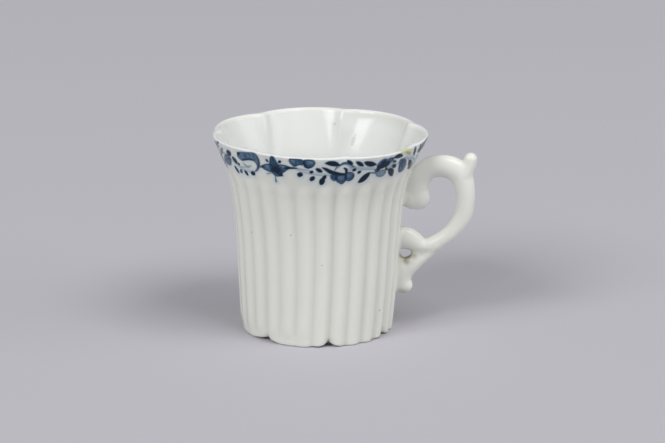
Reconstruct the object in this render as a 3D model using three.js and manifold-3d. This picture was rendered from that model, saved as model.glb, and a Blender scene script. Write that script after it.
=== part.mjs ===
// A small porcelain coffee cup: a lobed, reeded cup that flares to the rim, with a scroll handle.
// Millimetres, +Z up. The cup stands on z = 0 and the handle points along +X. The clay pieces
// were joined with slip, so each seam of slip is a thin pad between the wall and the handle.

import * as THREE from 'three';
import { mergeVertices } from 'three/addons/utils/BufferGeometryUtils.js';
import Module from 'manifold-3d';

const wasm = await Module();
wasm.setup();

// Cup: radii are measured to the crest of a lobe, without the reeds
const HEIGHT = 58;
const FOOT_RADIUS = 22.05;
const NECK_RADIUS = 25.65;
const RIM_RADIUS = 31.2;
const FLARE_HEIGHT = 13;
const NECK_SLOPE = 0.245;
const BELLY_SWELL = 1.2;
const BELLY_HEIGHT = 17.1;
const RIM_LEAN = 0.95;
const RIM_LEAN_HEIGHT = 3.2;
const RIM_WALL = 1.1;
const FOOT_WALL = 2.3;
const FLOOR_THICKNESS = 2.6;
const FLOOR_ROUND = 4;

// Foot: a flat lobed rim round a shallow recess
const FOOT_ROUND = 1;
const FOOT_RECESS = 0.9;
const FOOT_RIM_WIDTH = 3.2;

// Lobes round the wall, and the notches between them
const LOBES = 7;
const LOBE_DEPTH_FOOT = 0.35;
const LOBE_DEPTH_RIM = 1;
const LOBE_FULLNESS = 0.6;
const NOTCH_DEPTH = 0.2;
const NOTCH_HALF_WIDTH = 1.6;
const FOOT_NOTCH_DEPTH = 0.9;
const FOOT_NOTCH_HALF_WIDTH = 2.1;
const FOOT_NOTCH_HEIGHT = 4;
const FOOT_NOTCH_LIFT = 2;
const FOOT_NOTCH_LIFT_HALF_WIDTH = 3.4;
const INNER_SOFTNESS = 0.01;

// Convex reeds, which stop in round ends below a plain band
const REEDS_PER_LOBE = 4;
const REED_HEIGHT = 0.45;
const REED_DROP = 8.2;
const REED_ARCH = 1.4;
const REED_END = 1.5;

// Handle: its own height and reach, and the clay seams that hold it
const HANDLE_TOP_DROP = 6.3;
const HANDLE_BOTTOM = 10;
const HANDLE_REACH = 16.25;
const WALL_HUG = 2.2;
const SLIP_THICKNESS = 0.8;
const SLIP_SPREAD = 0.7;
const GAP = 0.3;

// Fineness of the facets
const STEPS_PER_REED = 6;
const LOWER_WALL_ROWS = 5;
const BAND_ROWS = 2;
const LIP_STEPS = 4;
const INNER_WALL_ROWS = 5;
const STRIP_SIDES = 16;
const STRIP_RINGS_PER_STATION = 3;
const CAP_BLUNTNESS = 0.7;
const CAP_RINGS = 4;
const HALVINGS = 30;

const NECK_Z = HEIGHT - FLARE_HEIGHT;
const FLOOR_Z = FOOT_RECESS + FLOOR_THICKNESS;
const REED_TOP = HEIGHT - REED_DROP;
const LIP_RADIUS = RIM_WALL / 2;
const SEGMENTS = LOBES * REEDS_PER_LOBE * STEPS_PER_REED;
const NECK_HANDLE_BELOW = 11;
const NECK_HANDLE_ABOVE = 3;

// Outline of the wall: a nearly straight lower part and a flared mouth, which share a tangent
const lowerWall = new THREE.CubicBezierCurve(
  new THREE.Vector2(FOOT_RADIUS, 0),
  new THREE.Vector2(FOOT_RADIUS + BELLY_SWELL, BELLY_HEIGHT),
  new THREE.Vector2(NECK_RADIUS - NECK_HANDLE_BELOW * NECK_SLOPE, NECK_Z - NECK_HANDLE_BELOW),
  new THREE.Vector2(NECK_RADIUS, NECK_Z),
);
const upperWall = new THREE.CubicBezierCurve(
  new THREE.Vector2(NECK_RADIUS, NECK_Z),
  new THREE.Vector2(NECK_RADIUS + NECK_HANDLE_ABOVE * NECK_SLOPE, NECK_Z + NECK_HANDLE_ABOVE),
  new THREE.Vector2(RIM_RADIUS - RIM_LEAN, HEIGHT - RIM_LEAN_HEIGHT),
  new THREE.Vector2(RIM_RADIUS, HEIGHT),
);

// Radius of a lobe's crest at a height, found by halving along the outline
function crestRadius(z) {
  const outline = z < NECK_Z ? lowerWall : upperWall;
  let low = 0;
  let high = 1;
  for (let step = 0; step < HALVINGS; step++) {
    const middle = (low + high) / 2;
    if (outline.getPoint(middle).y < z) {
      low = middle;
    } else {
      high = middle;
    }
  }
  return outline.getPoint((low + high) / 2).x;
}

// Place across a lobe, from 0 at one notch to 1 at the next. The handle is at 0.5 of its lobe
function placeInLobe(angle) {
  const turns = (angle / (2 * Math.PI)) * LOBES + 0.5;
  return turns - Math.floor(turns);
}

function lobeDepth(z) {
  const flare = THREE.MathUtils.smoothstep(z, NECK_Z, HEIGHT);
  return LOBE_DEPTH_FOOT + (LOBE_DEPTH_RIM - LOBE_DEPTH_FOOT) * flare;
}

function groove(distance, halfWidth, depth) {
  return depth * Math.max(0, 1 - distance / halfWidth) ** 2;
}

function distanceFromNotch(angle, radius) {
  const place = placeInLobe(angle);
  return (Math.min(place, 1 - place) * 2 * Math.PI * radius) / LOBES;
}

// Outside of the wall: the lobes' arcs, the notches between them and the reeds on them
function outerRadius(angle, z) {
  const place = placeInLobe(angle);
  const radius = crestRadius(z);
  const fromNotch = distanceFromNotch(angle, radius);
  const arcDip = lobeDepth(z) * (1 - Math.sin(Math.PI * place) ** LOBE_FULLNESS);
  const belowBand = 1 - THREE.MathUtils.smoothstep(z, REED_TOP - REED_ARCH, REED_TOP + REED_END);
  const nearFoot = Math.max(0, 1 - z / FOOT_NOTCH_HEIGHT) ** 2;
  const notch = groove(fromNotch, NOTCH_HALF_WIDTH, NOTCH_DEPTH * belowBand);
  const footNotch = groove(fromNotch, FOOT_NOTCH_HALF_WIDTH, FOOT_NOTCH_DEPTH * nearFoot);
  const acrossReed = 2 * ((place * REEDS_PER_LOBE) % 1) - 1;
  const reedEnd = REED_TOP - REED_ARCH * acrossReed ** 2;
  const reedLeft = 1 - THREE.MathUtils.smoothstep(z, reedEnd - REED_END, reedEnd);
  const reed = REED_HEIGHT * (1 - acrossReed ** 2) * reedLeft;
  return radius - arcDip - notch - footNotch + reed;
}

// Inside of the wall: the same lobes with soft ridges between them, and no reeds
function innerRadius(angle, z) {
  const bulge = Math.sin(Math.PI * placeInLobe(angle));
  const softArc = (bulge ** 2 + INNER_SOFTNESS) ** (LOBE_FULLNESS / 2);
  const softDip = lobeDepth(z) * (1 - softArc);
  const wall = FOOT_WALL + (RIM_WALL - FOOT_WALL) * (z / HEIGHT);
  return crestRadius(z) - wall - softDip;
}

// Heights evenly spaced between two heights, which are left out themselves
function between(low, high, count) {
  return Array.from({ length: count }, (_, i) => low + ((high - low) * (i + 1)) / (count + 1));
}

// A revolve whose rows follow the lobes: each row gives a radius and a height for an angle
function lobedRevolve(rows) {
  const profile = rows.map((row) => new THREE.Vector2(...row(0)));
  const geometry = new THREE.LatheGeometry(profile, SEGMENTS);
  const position = geometry.getAttribute('position');
  for (let i = 0; i < position.count; i++) {
    const segment = Math.floor(i / rows.length) % SEGMENTS;
    const angle = (2 * Math.PI * segment) / SEGMENTS;
    const [radius, z] = rows[i % rows.length](angle);
    position.setXYZ(i, radius * Math.cos(angle), radius * Math.sin(angle), z);
  }
  return geometry;
}

// The foot: a recess, a flat rim, and a rounded edge that lifts off the table at each notch
function footRows() {
  const recess = (angle) => innerRadius(angle, 0) + FOOT_WALL - FOOT_RIM_WIDTH;
  const lift = (angle) => groove(
    distanceFromNotch(angle, FOOT_RADIUS), FOOT_NOTCH_LIFT_HALF_WIDTH, FOOT_NOTCH_LIFT,
  );
  const rows = [
    () => [0, FOOT_RECESS],
    (angle) => [recess(angle) - FOOT_RECESS, FOOT_RECESS],
    (angle) => [recess(angle), 0],
  ];
  for (const turn of [0, Math.PI / 4, Math.PI / 2]) {
    rows.push((angle) => [
      outerRadius(angle, FOOT_ROUND * (1 - Math.cos(turn))) - FOOT_ROUND * (1 - Math.sin(turn)),
      FOOT_ROUND * (1 - Math.cos(turn)) + lift(angle),
    ]);
  }
  return rows;
}

function outerWallHeights() {
  return [
    FOOT_NOTCH_HEIGHT,
    ...between(FOOT_NOTCH_HEIGHT, NECK_Z, LOWER_WALL_ROWS),
    NECK_Z,
    REED_TOP - REED_ARCH - REED_END,
    REED_TOP - REED_ARCH,
    REED_TOP - REED_ARCH / 2,
    REED_TOP,
    ...between(REED_TOP, HEIGHT - LIP_RADIUS, BAND_ROWS),
  ];
}

function makeCup() {
  const rows = footRows();
  for (const z of outerWallHeights()) {
    rows.push((angle) => [outerRadius(angle, z), z]);
  }
  for (let i = 0; i <= LIP_STEPS; i++) {
    const turn = (Math.PI * i) / LIP_STEPS;
    const share = (1 - Math.cos(turn)) / 2;
    const z = HEIGHT - LIP_RADIUS * (1 - Math.sin(turn));
    rows.push((angle) => {
      const outer = outerRadius(angle, z);
      return [outer + (innerRadius(angle, z) - outer) * share, z];
    });
  }
  const fillet = FLOOR_Z + FLOOR_ROUND;
  for (const z of between(fillet, HEIGHT - LIP_RADIUS, INNER_WALL_ROWS).reverse()) {
    rows.push((angle) => [innerRadius(angle, z), z]);
  }
  for (const turn of [0, Math.PI / 4, Math.PI / 2]) {
    rows.push((angle) => [
      innerRadius(angle, fillet) - FLOOR_ROUND * (1 - Math.cos(turn)),
      fillet - FLOOR_ROUND * Math.sin(turn),
    ]);
  }
  rows.push(() => [0, FLOOR_Z]);
  return lobedRevolve(rows);
}

// The wall filled solid and grown outward, which trims the handle to the reeds
function makeWallCutter(growth) {
  const heights = [0, ...outerWallHeights(), HEIGHT];
  const rows = heights.map((z) => (angle) => [outerRadius(angle, z) + growth, z]);
  return lobedRevolve([() => [0, 0], ...rows, () => [0, HEIGHT]]);
}

// Handle stations: across is the share of the reach that the centre line stands off the wall, up
// is the share of the handle's height, and the last two are half its width and half its depth
const BOW = [
  { across: 0.1, up: 0.62, width: 3.1, depth: 2.2 },
  { across: 0.13, up: 0.685, width: 3.6, depth: 2.35 },
  { across: 0.083, up: 0.755, width: 3.1, depth: 2.4 },
  { across: 0.138, up: 0.849, width: 3.5, depth: 2.5 },
  { across: 0.372, up: 0.918, width: 3.4, depth: 2.5 },
  { across: 0.618, up: 0.916, width: 3.3, depth: 2.5 },
  { across: 0.828, up: 0.868, width: 3.15, depth: 2.45 },
  { across: 0.953, up: 0.767, width: 2.8, depth: 2.4 },
  { across: 0.99, up: 0.659, width: 2.5, depth: 2.35 },
  { across: 0.948, up: 0.552, width: 2.5, depth: 2.3 },
  { across: 0.763, up: 0.448, width: 2.35, depth: 2.3 },
  { across: 0.52, up: 0.374, width: 2.25, depth: 2.3 },
  { across: 0.323, up: 0.357, width: 2.1, depth: 2.3 },
  { across: 0.145, up: 0.386, width: 2.85, depth: 2.4 },
  { across: 0.024, up: 0.405, width: 3.3, depth: 2.4 },
  { across: -0.215, up: 0.407, width: 3.3, depth: 2.4 },
];
const THUMB_REST = [
  { across: 0.955, up: 0.863, width: 1.5, depth: 1.8 },
  { across: 0.97, up: 0.918, width: 1.85, depth: 2.05 },
  { across: 0.98, up: 0.965, width: 1.95, depth: 2.1 },
  { across: 0.98, up: 1.024, width: 1.95, depth: 2.1 },
];
const LOWER_SCROLL = [
  { across: 0.533, up: 0.34, width: 1.2, depth: 1.7 },
  { across: 0.365, up: 0.276, width: 1.5, depth: 1.9 },
  { across: 0.21, up: 0.242, width: 2.2, depth: 2.05 },
  { across: 0.065, up: 0.2, width: 2.75, depth: 2.1 },
  { across: 0, up: 0.13, width: 2.5, depth: 2.1 },
  { across: 0.04, up: 0.055, width: 2.6, depth: 2.2 },
  { across: 0.08, up: 0, width: 2.4, depth: 2.2 },
];

function stationPoint({ across, up }) {
  const z = HANDLE_BOTTOM + up * (HEIGHT - HANDLE_TOP_DROP - HANDLE_BOTTOM);
  const wall = crestRadius(Math.min(z, NECK_Z));
  return new THREE.Vector2(wall + WALL_HUG + across * HANDLE_REACH, z);
}

// A rolled strip of clay: a round-ended revolve, bent along the stations' centre line
function makeStrip(stations, growth = 0) {
  const centre = new THREE.SplineCurve(stations.map(stationPoint));
  const size = new THREE.SplineCurve(stations.map((s) => new THREE.Vector2(s.width, s.depth)));
  const length = centre.getLength();
  const firstCap = (CAP_BLUNTNESS * stations[0].width) / length;
  const lastCap = (CAP_BLUNTNESS * stations[stations.length - 1].width) / length;
  const rings = [];
  for (let i = 0; i < CAP_RINGS; i++) {
    const turn = (Math.PI / 2) * (i / CAP_RINGS);
    rings.push([firstCap * (1 - Math.cos(turn)), Math.sin(turn)]);
  }
  const straight = (stations.length - 1) * STRIP_RINGS_PER_STATION;
  for (let i = 0; i <= straight; i++) {
    rings.push([firstCap + ((1 - firstCap - lastCap) * i) / straight, 1]);
  }
  for (let i = CAP_RINGS - 1; i >= 0; i--) {
    const turn = (Math.PI / 2) * (i / CAP_RINGS);
    rings.push([1 - lastCap * (1 - Math.cos(turn)), Math.sin(turn)]);
  }
  const profile = rings.map(([share, fullness]) => new THREE.Vector2(fullness, share));
  const geometry = new THREE.LatheGeometry(profile, STRIP_SIDES);
  const position = geometry.getAttribute('position');
  for (let i = 0; i < position.count; i++) {
    const ring = i % rings.length;
    const side = Math.floor(i / rings.length) % STRIP_SIDES;
    const angle = (2 * Math.PI * side) / STRIP_SIDES;
    const [share, fullness] = rings[ring];
    const t = centre.getUtoTmapping(share);
    const point = centre.getPoint(t);
    const along = centre.getTangent(t);
    const half = size.getPoint(t).addScalar(growth).multiplyScalar(fullness);
    let tip = 0;
    if (ring === 0) {
      tip = -growth;
    } else if (ring === rings.length - 1) {
      tip = growth;
    }
    const inPlane = half.x * Math.sin(angle);
    position.setXYZ(
      i,
      point.x - along.y * inPlane + along.x * tip,
      half.y * Math.cos(angle),
      point.y + along.x * inPlane + along.y * tip,
    );
  }
  return geometry;
}

// A geometry as a closed solid: shared corners merged, collapsed triangles left out
function toSolid(geometry) {
  geometry.deleteAttribute('normal');
  geometry.deleteAttribute('uv');
  const merged = mergeVertices(geometry);
  const index = merged.getIndex().array;
  const triangles = [];
  for (let i = 0; i < index.length; i += 3) {
    const [a, b, c] = index.slice(i, i + 3);
    if (a !== b && b !== c && c !== a) {
      triangles.push(a, b, c);
    }
  }
  return new wasm.Manifold(new wasm.Mesh({
    numProp: 3,
    vertProperties: new Float32Array(merged.getAttribute('position').array),
    triVerts: new Uint32Array(triangles),
  }));
}

function toGeometry(solid) {
  const mesh = solid.getMesh();
  const geometry = new THREE.BufferGeometry();
  geometry.setAttribute('position', new THREE.BufferAttribute(mesh.vertProperties, 3));
  geometry.setIndex(new THREE.BufferAttribute(mesh.triVerts, 1));
  geometry.computeVertexNormals();
  return geometry;
}

const cup = toSolid(makeCup());
const slipInside = toSolid(makeWallCutter(GAP));
const slipOutside = toSolid(makeWallCutter(GAP + SLIP_THICKNESS));
const handleTrim = toSolid(makeWallCutter(GAP + SLIP_THICKNESS + GAP));
const roundBow = toSolid(makeStrip(BOW, GAP));

const bow = toSolid(makeStrip(BOW)).subtract(handleTrim);
const thumbRest = toSolid(makeStrip(THUMB_REST)).subtract(roundBow);
const lowerScroll = toSolid(makeStrip(LOWER_SCROLL)).subtract(roundBow).subtract(handleTrim);

// A seam of slip: the part of a wider strip that lies against the wall, between two heights
function makeSlip(stations, low, high) {
  const slab = new THREE.BoxGeometry(4 * RIM_RADIUS, 4 * RIM_RADIUS, high - low);
  slab.translate(0, 0, (low + high) / 2);
  const seam = toSolid(makeStrip(stations, SLIP_SPREAD)).intersect(toSolid(slab));
  return seam.intersect(slipOutside).subtract(slipInside);
}

const HANDLE_MIDDLE = (stationPoint(BOW[0]).y + stationPoint(BOW[BOW.length - 2]).y) / 2;
const upperSlip = makeSlip(BOW, HANDLE_MIDDLE, HEIGHT);
const middleSlip = makeSlip(BOW, 0, HANDLE_MIDDLE);
const lowerSlip = makeSlip(LOWER_SCROLL, 0, HANDLE_MIDDLE);

const porcelain = new THREE.MeshStandardMaterial({ color: 0xe2e5e0, roughness: 0.18, metalness: 0 });
const slipClay = new THREE.MeshStandardMaterial({ color: 0xd9dbd2, roughness: 0.22, metalness: 0 });

const pieces = {
  cup_body: [cup, porcelain],
  handle_bow: [bow, porcelain],
  thumb_rest: [thumbRest, porcelain],
  lower_scroll: [lowerScroll, porcelain],
  upper_slip: [upperSlip, slipClay],
  middle_slip: [middleSlip, slipClay],
  lower_slip: [lowerSlip, slipClay],
};

// The pieces stand with the middle of their common outline over the origin
const coffeeCup = new THREE.Group();
const standing = new THREE.Group();
coffeeCup.add(standing);
for (const [name, [solid, material]] of Object.entries(pieces)) {
  const mesh = new THREE.Mesh(toGeometry(solid), material);
  mesh.name = name;
  standing.add(mesh);
}
standing.position.x = -new THREE.Box3().setFromObject(standing).getCenter(new THREE.Vector3()).x;

export default coffeeCup;
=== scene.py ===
# %% [markdown]
# # A small lobed coffee cup in blue and white
# This lesson gives the plain solid model of a porcelain cup its finished look. The solid model is
# loaded as a frame that stays where it is, and each of its pieces is then covered by a finer one:
# the moulded wall with its reeds, the scroll handle with its soft joints, and the painted border.
# Every size is in millimetres until a mesh is made, because that is how a potter thinks of it.

import math

import bpy
import numpy as np
from mathutils import Matrix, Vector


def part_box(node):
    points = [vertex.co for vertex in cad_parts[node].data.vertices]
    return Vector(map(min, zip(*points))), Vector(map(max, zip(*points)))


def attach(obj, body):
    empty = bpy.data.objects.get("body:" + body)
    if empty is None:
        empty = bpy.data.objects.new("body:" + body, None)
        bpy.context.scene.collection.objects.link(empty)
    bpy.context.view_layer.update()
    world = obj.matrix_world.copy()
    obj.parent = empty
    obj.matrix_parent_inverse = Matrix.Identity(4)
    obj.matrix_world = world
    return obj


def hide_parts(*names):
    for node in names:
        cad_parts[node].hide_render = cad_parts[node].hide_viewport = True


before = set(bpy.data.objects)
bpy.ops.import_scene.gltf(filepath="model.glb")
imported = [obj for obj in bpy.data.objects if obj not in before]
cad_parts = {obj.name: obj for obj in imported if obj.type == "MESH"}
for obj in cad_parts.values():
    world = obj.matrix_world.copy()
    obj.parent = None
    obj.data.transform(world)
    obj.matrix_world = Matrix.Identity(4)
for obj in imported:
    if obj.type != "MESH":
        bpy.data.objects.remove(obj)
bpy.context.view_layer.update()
MM = 0.001

# %% [markdown]
# ## The outline of the wall
# On the real cup the clay was pressed into a mould, so every lobe has the same outline: a nearly
# straight wall that flares at the mouth. It could be drawn by eye with many points, but two Bezier
# curves that share a tangent at the neck have no kink and need only a few sizes.

# %% Sizes of the cup and its outline
HEIGHT = 58.0
FOOT_RADIUS = 22.05
NECK_RADIUS = 25.65
RIM_RADIUS = 31.2
NECK_Z = 45.0
# The neck's slope, and how far below and above the neck each curve keeps to it
NECK_SLOPE = 0.245
BELOW_NECK = 11
ABOVE_NECK = 3
BELLY_SWELL = 1.2
BELLY_Z = 17.1
RIM_LEAN = 0.95
RIM_LEAN_HEIGHT = 3.2
RIM_WALL = 1.1
FOOT_WALL = 2.3
LIP_RADIUS = RIM_WALL / 2
OUTLINE_SAMPLES = 400

lower_wall = [(FOOT_RADIUS, 0), (FOOT_RADIUS + BELLY_SWELL, BELLY_Z),
              (NECK_RADIUS - BELOW_NECK * NECK_SLOPE, NECK_Z - BELOW_NECK), (NECK_RADIUS, NECK_Z)]
upper_wall = [(NECK_RADIUS, NECK_Z), (NECK_RADIUS + ABOVE_NECK * NECK_SLOPE, NECK_Z + ABOVE_NECK),
              (RIM_RADIUS - RIM_LEAN, HEIGHT - RIM_LEAN_HEIGHT), (RIM_RADIUS, HEIGHT)]


def bezier(corners):
    """Samples of a Bezier curve through its first and last corner."""
    t = np.linspace(0, 1, OUTLINE_SAMPLES)[:, None]
    a, b, c, d = np.array(corners, float)
    return (1 - t) ** 3 * a + 3 * (1 - t) ** 2 * t * b + 3 * (1 - t) * t ** 2 * c + t ** 3 * d


outline = np.vstack([bezier(lower_wall), bezier(upper_wall)[1:]])


def crest_radius(z):
    """Radius of a lobe's crest at a height."""
    return np.interp(z, outline[:, 1], outline[:, 0])


print("crest radius at foot, neck and rim:", crest_radius([0, NECK_Z, HEIGHT]).round(2))

# %% [markdown]
# ## Lobes, notches and reeds
# Seen from above the cup is a flower of seven lobes, and each lobe carries four raised reeds that
# stop in round ends below the painted band. A texture could fake the reeds, but they catch the
# light at the cup's edge and at its foot, so they are real relief: a radius that depends on the
# angle and on the height.

# %% Places and dips round a lobe
LOBES = 7
REEDS_PER_LOBE = 4
REEDS = LOBES * REEDS_PER_LOBE


def smooth_step(value, low, high):
    share = np.clip((value - low) / (high - low), 0, 1)
    return share * share * (3 - 2 * share)


def place_in_lobe(angle):
    """0 at one notch and 1 at the next. The handle is at 0.5 of its lobe."""
    turns = angle / (2 * math.pi) * LOBES + 0.5
    return turns - np.floor(turns)


def nearest_notch(angle):
    return np.round(angle / (2 * math.pi) * LOBES + 0.5).astype(int) % LOBES


def from_notch(angle, radius):
    """Distance along the wall to the nearest notch."""
    place = place_in_lobe(angle)
    return np.minimum(place, 1 - place) * 2 * math.pi * radius / LOBES


def groove(distance, half_width, depth):
    return depth * np.maximum(0, 1 - distance / half_width) ** 2


def lobe_dip(angle, z, foot_depth, rim_depth, fullness, softness):
    """How far the arc of a lobe falls back from its crest."""
    depth = foot_depth + (rim_depth - foot_depth) * smooth_step(z, NECK_Z, HEIGHT)
    bulge = np.sin(math.pi * place_in_lobe(angle))
    return depth * (1 - (bulge ** 2 + softness) ** (fullness / 2))


print(LOBES, "lobes with", REEDS, "reeds in all")

# %% [markdown]
# Each reed rises and falls like a wave across its width and stops in an arch under the band. The
# reeds are crisper on one side than on the other, and they fade out just above the foot, so the
# relief isn't the same all round. That keeps the wall from looking as if it was extruded.

# %% How deep the reeds are
REED_HEIGHT = 0.42
REED_TOP = HEIGHT - 8.2
REED_ARCH = 1.4
REED_END = 4.0
REED_DEPTH = 1.25
REED_DEPTH_SWING = 0.5
REED_DEEPEST = math.radians(-40)
REED_SHARPNESS = 1.4
REED_UNEVEN = 0.2
FOOT_FADE = 0.9


def reed_profile(angle, z):
    """Place across a reed from -1 to 1, and how much of the reed is left at this height."""
    across = 2 * ((place_in_lobe(angle) * REEDS_PER_LOBE) % 1) - 1
    end = REED_TOP - REED_ARCH * across ** 2
    return across, 1 - smooth_step(z, end - REED_END, end)


def reed_depth(angle):
    """The reeds are crisper on one side of the cup."""
    return REED_DEPTH + REED_DEPTH_SWING * np.cos(angle - REED_DEEPEST)


def foot_fade(angle, z):
    """The reeds run out just above the foot, except next to the handle."""
    away = smooth_step(-np.cos(angle), -0.1, 0.35)
    return 1 - FOOT_FADE * away * (1 - smooth_step(z, 1.2, 4.6))


def reed_relief(angle, z):
    """How far the reeds stand out. A deeper reed also has a lower valley."""
    across, left = reed_profile(angle, z)
    uneven = REED_UNEVEN * np.sin(5 * angle + 1.3) * np.cos(3 * angle + z / 30)
    height = REED_HEIGHT * (reed_depth(angle) + uneven)
    profile = 1 - (0.5 - 0.5 * np.cos(math.pi * across)) ** REED_SHARPNESS
    return (height * profile - 0.5 * (height - REED_HEIGHT)) * (left * foot_fade(angle, z))


print("relief of a reed, mm:", round(float(reed_relief(math.pi / REEDS, 30.0) - reed_relief(0.0, 30.0)), 2))

# %% [markdown]
# The wall's radius is the sum of all this: the outline, less the dips of the lobes and the grooves
# between them, plus the reeds. The inside is smoother. It follows the lobes with a soft ridge at
# each notch, and it isn't quite as thin everywhere.

# %% The wall's outer and inner radius
LOBE_DEPTH_FOOT = 0.3
LOBE_DEPTH_RIM = 1.1
LOBE_FULLNESS = 0.6
LOBE_SOFTNESS = 0.025
INNER_LOBE_DEPTH_FOOT = 0.03
INNER_LOBE_DEPTH_RIM = 1.65
INNER_LOBE_FULLNESS = 1.15
INNER_LOBE_SOFTNESS = 0.13
NOTCH_DEPTH = 0.16
NOTCH_HALF_WIDTH = 1.8
RIDGE_HEIGHT = 1.0
RIDGE_HALF_WIDTH = 2.4
FOOT_NOTCH_DEPTH = 0.8
FOOT_NOTCH_HALF_WIDTH = 2.1
FOOT_NOTCH_HEIGHT = 4.0
# The rim is nipped in at two notches, most at the front one, a little beside the notch's middle
RIM_NIP = np.array([0, 0, 0, 0, 0, 0.15, 1.0])
RIM_NIP_REACH = 2.0
RIM_NIP_SHIFT = 0.055
# The lobe at the back right, from one notch to the next, and how softly it starts and ends
BACK_RIGHT = [math.radians(23.2), math.radians(74.6)]
LOBE_EDGE = math.radians(5)


def rim_nip(angle, z):
    near = from_notch(angle - RIM_NIP_SHIFT, RIM_RADIUS)
    nip = RIM_NIP[nearest_notch(angle - RIM_NIP_SHIFT)]
    return nip * np.exp(-(near / RIM_NIP_REACH) ** 2) * smooth_step(z, 55, HEIGHT)


def outer_radius(angle, z):
    radius = crest_radius(z)
    near = from_notch(angle, radius)
    arc_dip = lobe_dip(angle, z, LOBE_DEPTH_FOOT, LOBE_DEPTH_RIM, LOBE_FULLNESS, LOBE_SOFTNESS)
    below_band = 1 - smooth_step(z, REED_TOP - REED_ARCH, REED_TOP + REED_END)
    near_foot = np.maximum(0, 1 - z / FOOT_NOTCH_HEIGHT) ** 2
    notch = groove(near, NOTCH_HALF_WIDTH, NOTCH_DEPTH * below_band)
    foot_notch = groove(near, FOOT_NOTCH_HALF_WIDTH, FOOT_NOTCH_DEPTH * near_foot)
    return radius - arc_dip - notch - foot_notch - rim_nip(angle, z) + reed_relief(angle, z)


def wall_thickness(angle, z):
    """The lip was thinned by hand, on the lobe at the back right lower down than on the others."""
    turn = angle % (2 * math.pi)
    back_right = smooth_step(turn, BACK_RIGHT[0], BACK_RIGHT[0] + LOBE_EDGE)
    back_right = back_right - smooth_step(turn, BACK_RIGHT[1], BACK_RIGHT[1] + LOBE_EDGE)
    others = 0.4 * (1 - smooth_step(z, 54.5, 60.4))
    flatter = 0.45 * (1 - smooth_step(z, 52, 56)) - 0.35 * (1 - smooth_step(z, 52, HEIGHT))
    plain = FOOT_WALL + (RIM_WALL - FOOT_WALL) * z / HEIGHT
    return plain + (others + (flatter - others) * back_right) * smooth_step(z, 0, 20)


def inner_radius(angle, z):
    """The inside has soft lobes too, with a ridge at each notch."""
    dip = lobe_dip(angle, z, INNER_LOBE_DEPTH_FOOT, INNER_LOBE_DEPTH_RIM, INNER_LOBE_FULLNESS,
                   INNER_LOBE_SOFTNESS)
    near = from_notch(angle, crest_radius(z))
    ridge = RIDGE_HEIGHT * smooth_step(z, 44, 56) * np.exp(-(near / RIDGE_HALF_WIDTH) ** 2)
    return crest_radius(z) - wall_thickness(angle, z) - dip - ridge - rim_nip(angle, z)


print("wall at the rim, the neck and the foot, mm:",
      [round(float(wall_thickness(math.pi, z)), 2) for z in (HEIGHT, NECK_Z, FOOT_NOTCH_HEIGHT)])

# %% [markdown]
# ## A hand-made stance
# Soft porcelain sags a little in the kiln. The real cup leans a hair towards its handle, its
# reeds wander and its mouth isn't level. A perfect revolve would look cast, so every piece is bent
# by the same small functions: bend moves a whole level sideways, drift turns the reeds by a
# fraction of a reed, and mouth_lift raises the rim where it stands higher.

# %% Lean, bend, drift and lift
LEAN = 0.013
BEND = 0.35
RIM_SHIFT = 0.6
OVAL = 0.01
DRIFT = 0.007
# How far the rim rises, and the angles where it rises most
FRONT_RISE, FRONT_RISE_ANGLE = 0.52, math.radians(-140)
BACK_RISE, BACK_RISE_ANGLE = 0.3, math.radians(45)
RISE_FROM = 46


def bend(z):
    return LEAN * z + BEND * np.sin(math.pi * z / 39) + RIM_SHIFT * smooth_step(z, 38, HEIGHT)


def drift(angle, z):
    return DRIFT * np.sin(z / 15 + 2.1 * np.sin(2 * angle + 0.7)) * np.sin(1.5 * angle + 0.9) ** 2


def mouth_lift(angle, z):
    """The rim stands a little higher at the front left and at the back right."""
    rise = FRONT_RISE * np.maximum(0, np.cos(angle - FRONT_RISE_ANGLE))
    rise = rise + BACK_RISE * np.maximum(0, np.cos(angle - BACK_RISE_ANGLE))
    return rise * smooth_step(z, RISE_FROM, HEIGHT)


AXIS_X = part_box("cup_body")[1][0] / MM - RIM_RADIUS
print("the cup's own axis stands at x =", round(AXIS_X, 3), "mm")

# %% [markdown]
# ## Rings of the cup
# The cup is one closed skin, laid out as rings from the middle of the foot, up the outside, over
# the lip and down to the middle of the floor. The painted band needs about five points to the
# millimetre to hold a brush stroke, and the rest doesn't, so the band's rings have three times as
# many points, and a fan of triangles joins a coarse ring to a fine one.

# %% Rings and the rounded lip
COARSE = REEDS * 12
FINE = REEDS * 36
LIP_TURNS = 11
coarse_angles = np.arange(COARSE) * 2 * math.pi / COARSE
fine_angles = np.arange(FINE) * 2 * math.pi / FINE
rings = []


def add_ring(angles, radius, z, zone):
    """zone names the part of the skin that starts at this ring."""
    rings.append({"angles": angles, "radius": radius + 0 * angles, "z": z + 0 * angles, "zone": zone})


def lip(angle, turn):
    """Radius and height round the rounded edge of the rim: turn is 0 outside and pi inside."""
    z = HEIGHT - LIP_RADIUS * (1 - np.sin(turn))
    outer = outer_radius(angle, z)
    return outer + (inner_radius(angle, z) - outer) * (1 - np.cos(turn)) / 2, z


print(COARSE, "points in a coarse ring,", FINE, "in a fine one")

# %% [markdown]
# The foot ring isn't flat. Where a notch reaches the ground the clay lifts off it in a small arch,
# some of them sharp and some broad, and the cup stands on the lobes between them.

# %% The foot and its arches
FOOT_ROUND = 0.6
FOOT_RECESS = 0.9
FOOT_RIM_WIDTH = 3.2
UNDERSIDE_DOME = 0.25
# How far each of the seven notches lifts the foot: a sharp cut and a broad, lazy one
SHARP_LIFT = np.array([1.0, 1.5, 1.3, 1.6, 1.2, 0.25, 0.85])
BROAD_LIFT = np.array([0.3, 0.1, 0.2, 0.1, 0.2, 1.0, 0.6])
SHARP_REACH = 3.2
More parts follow.
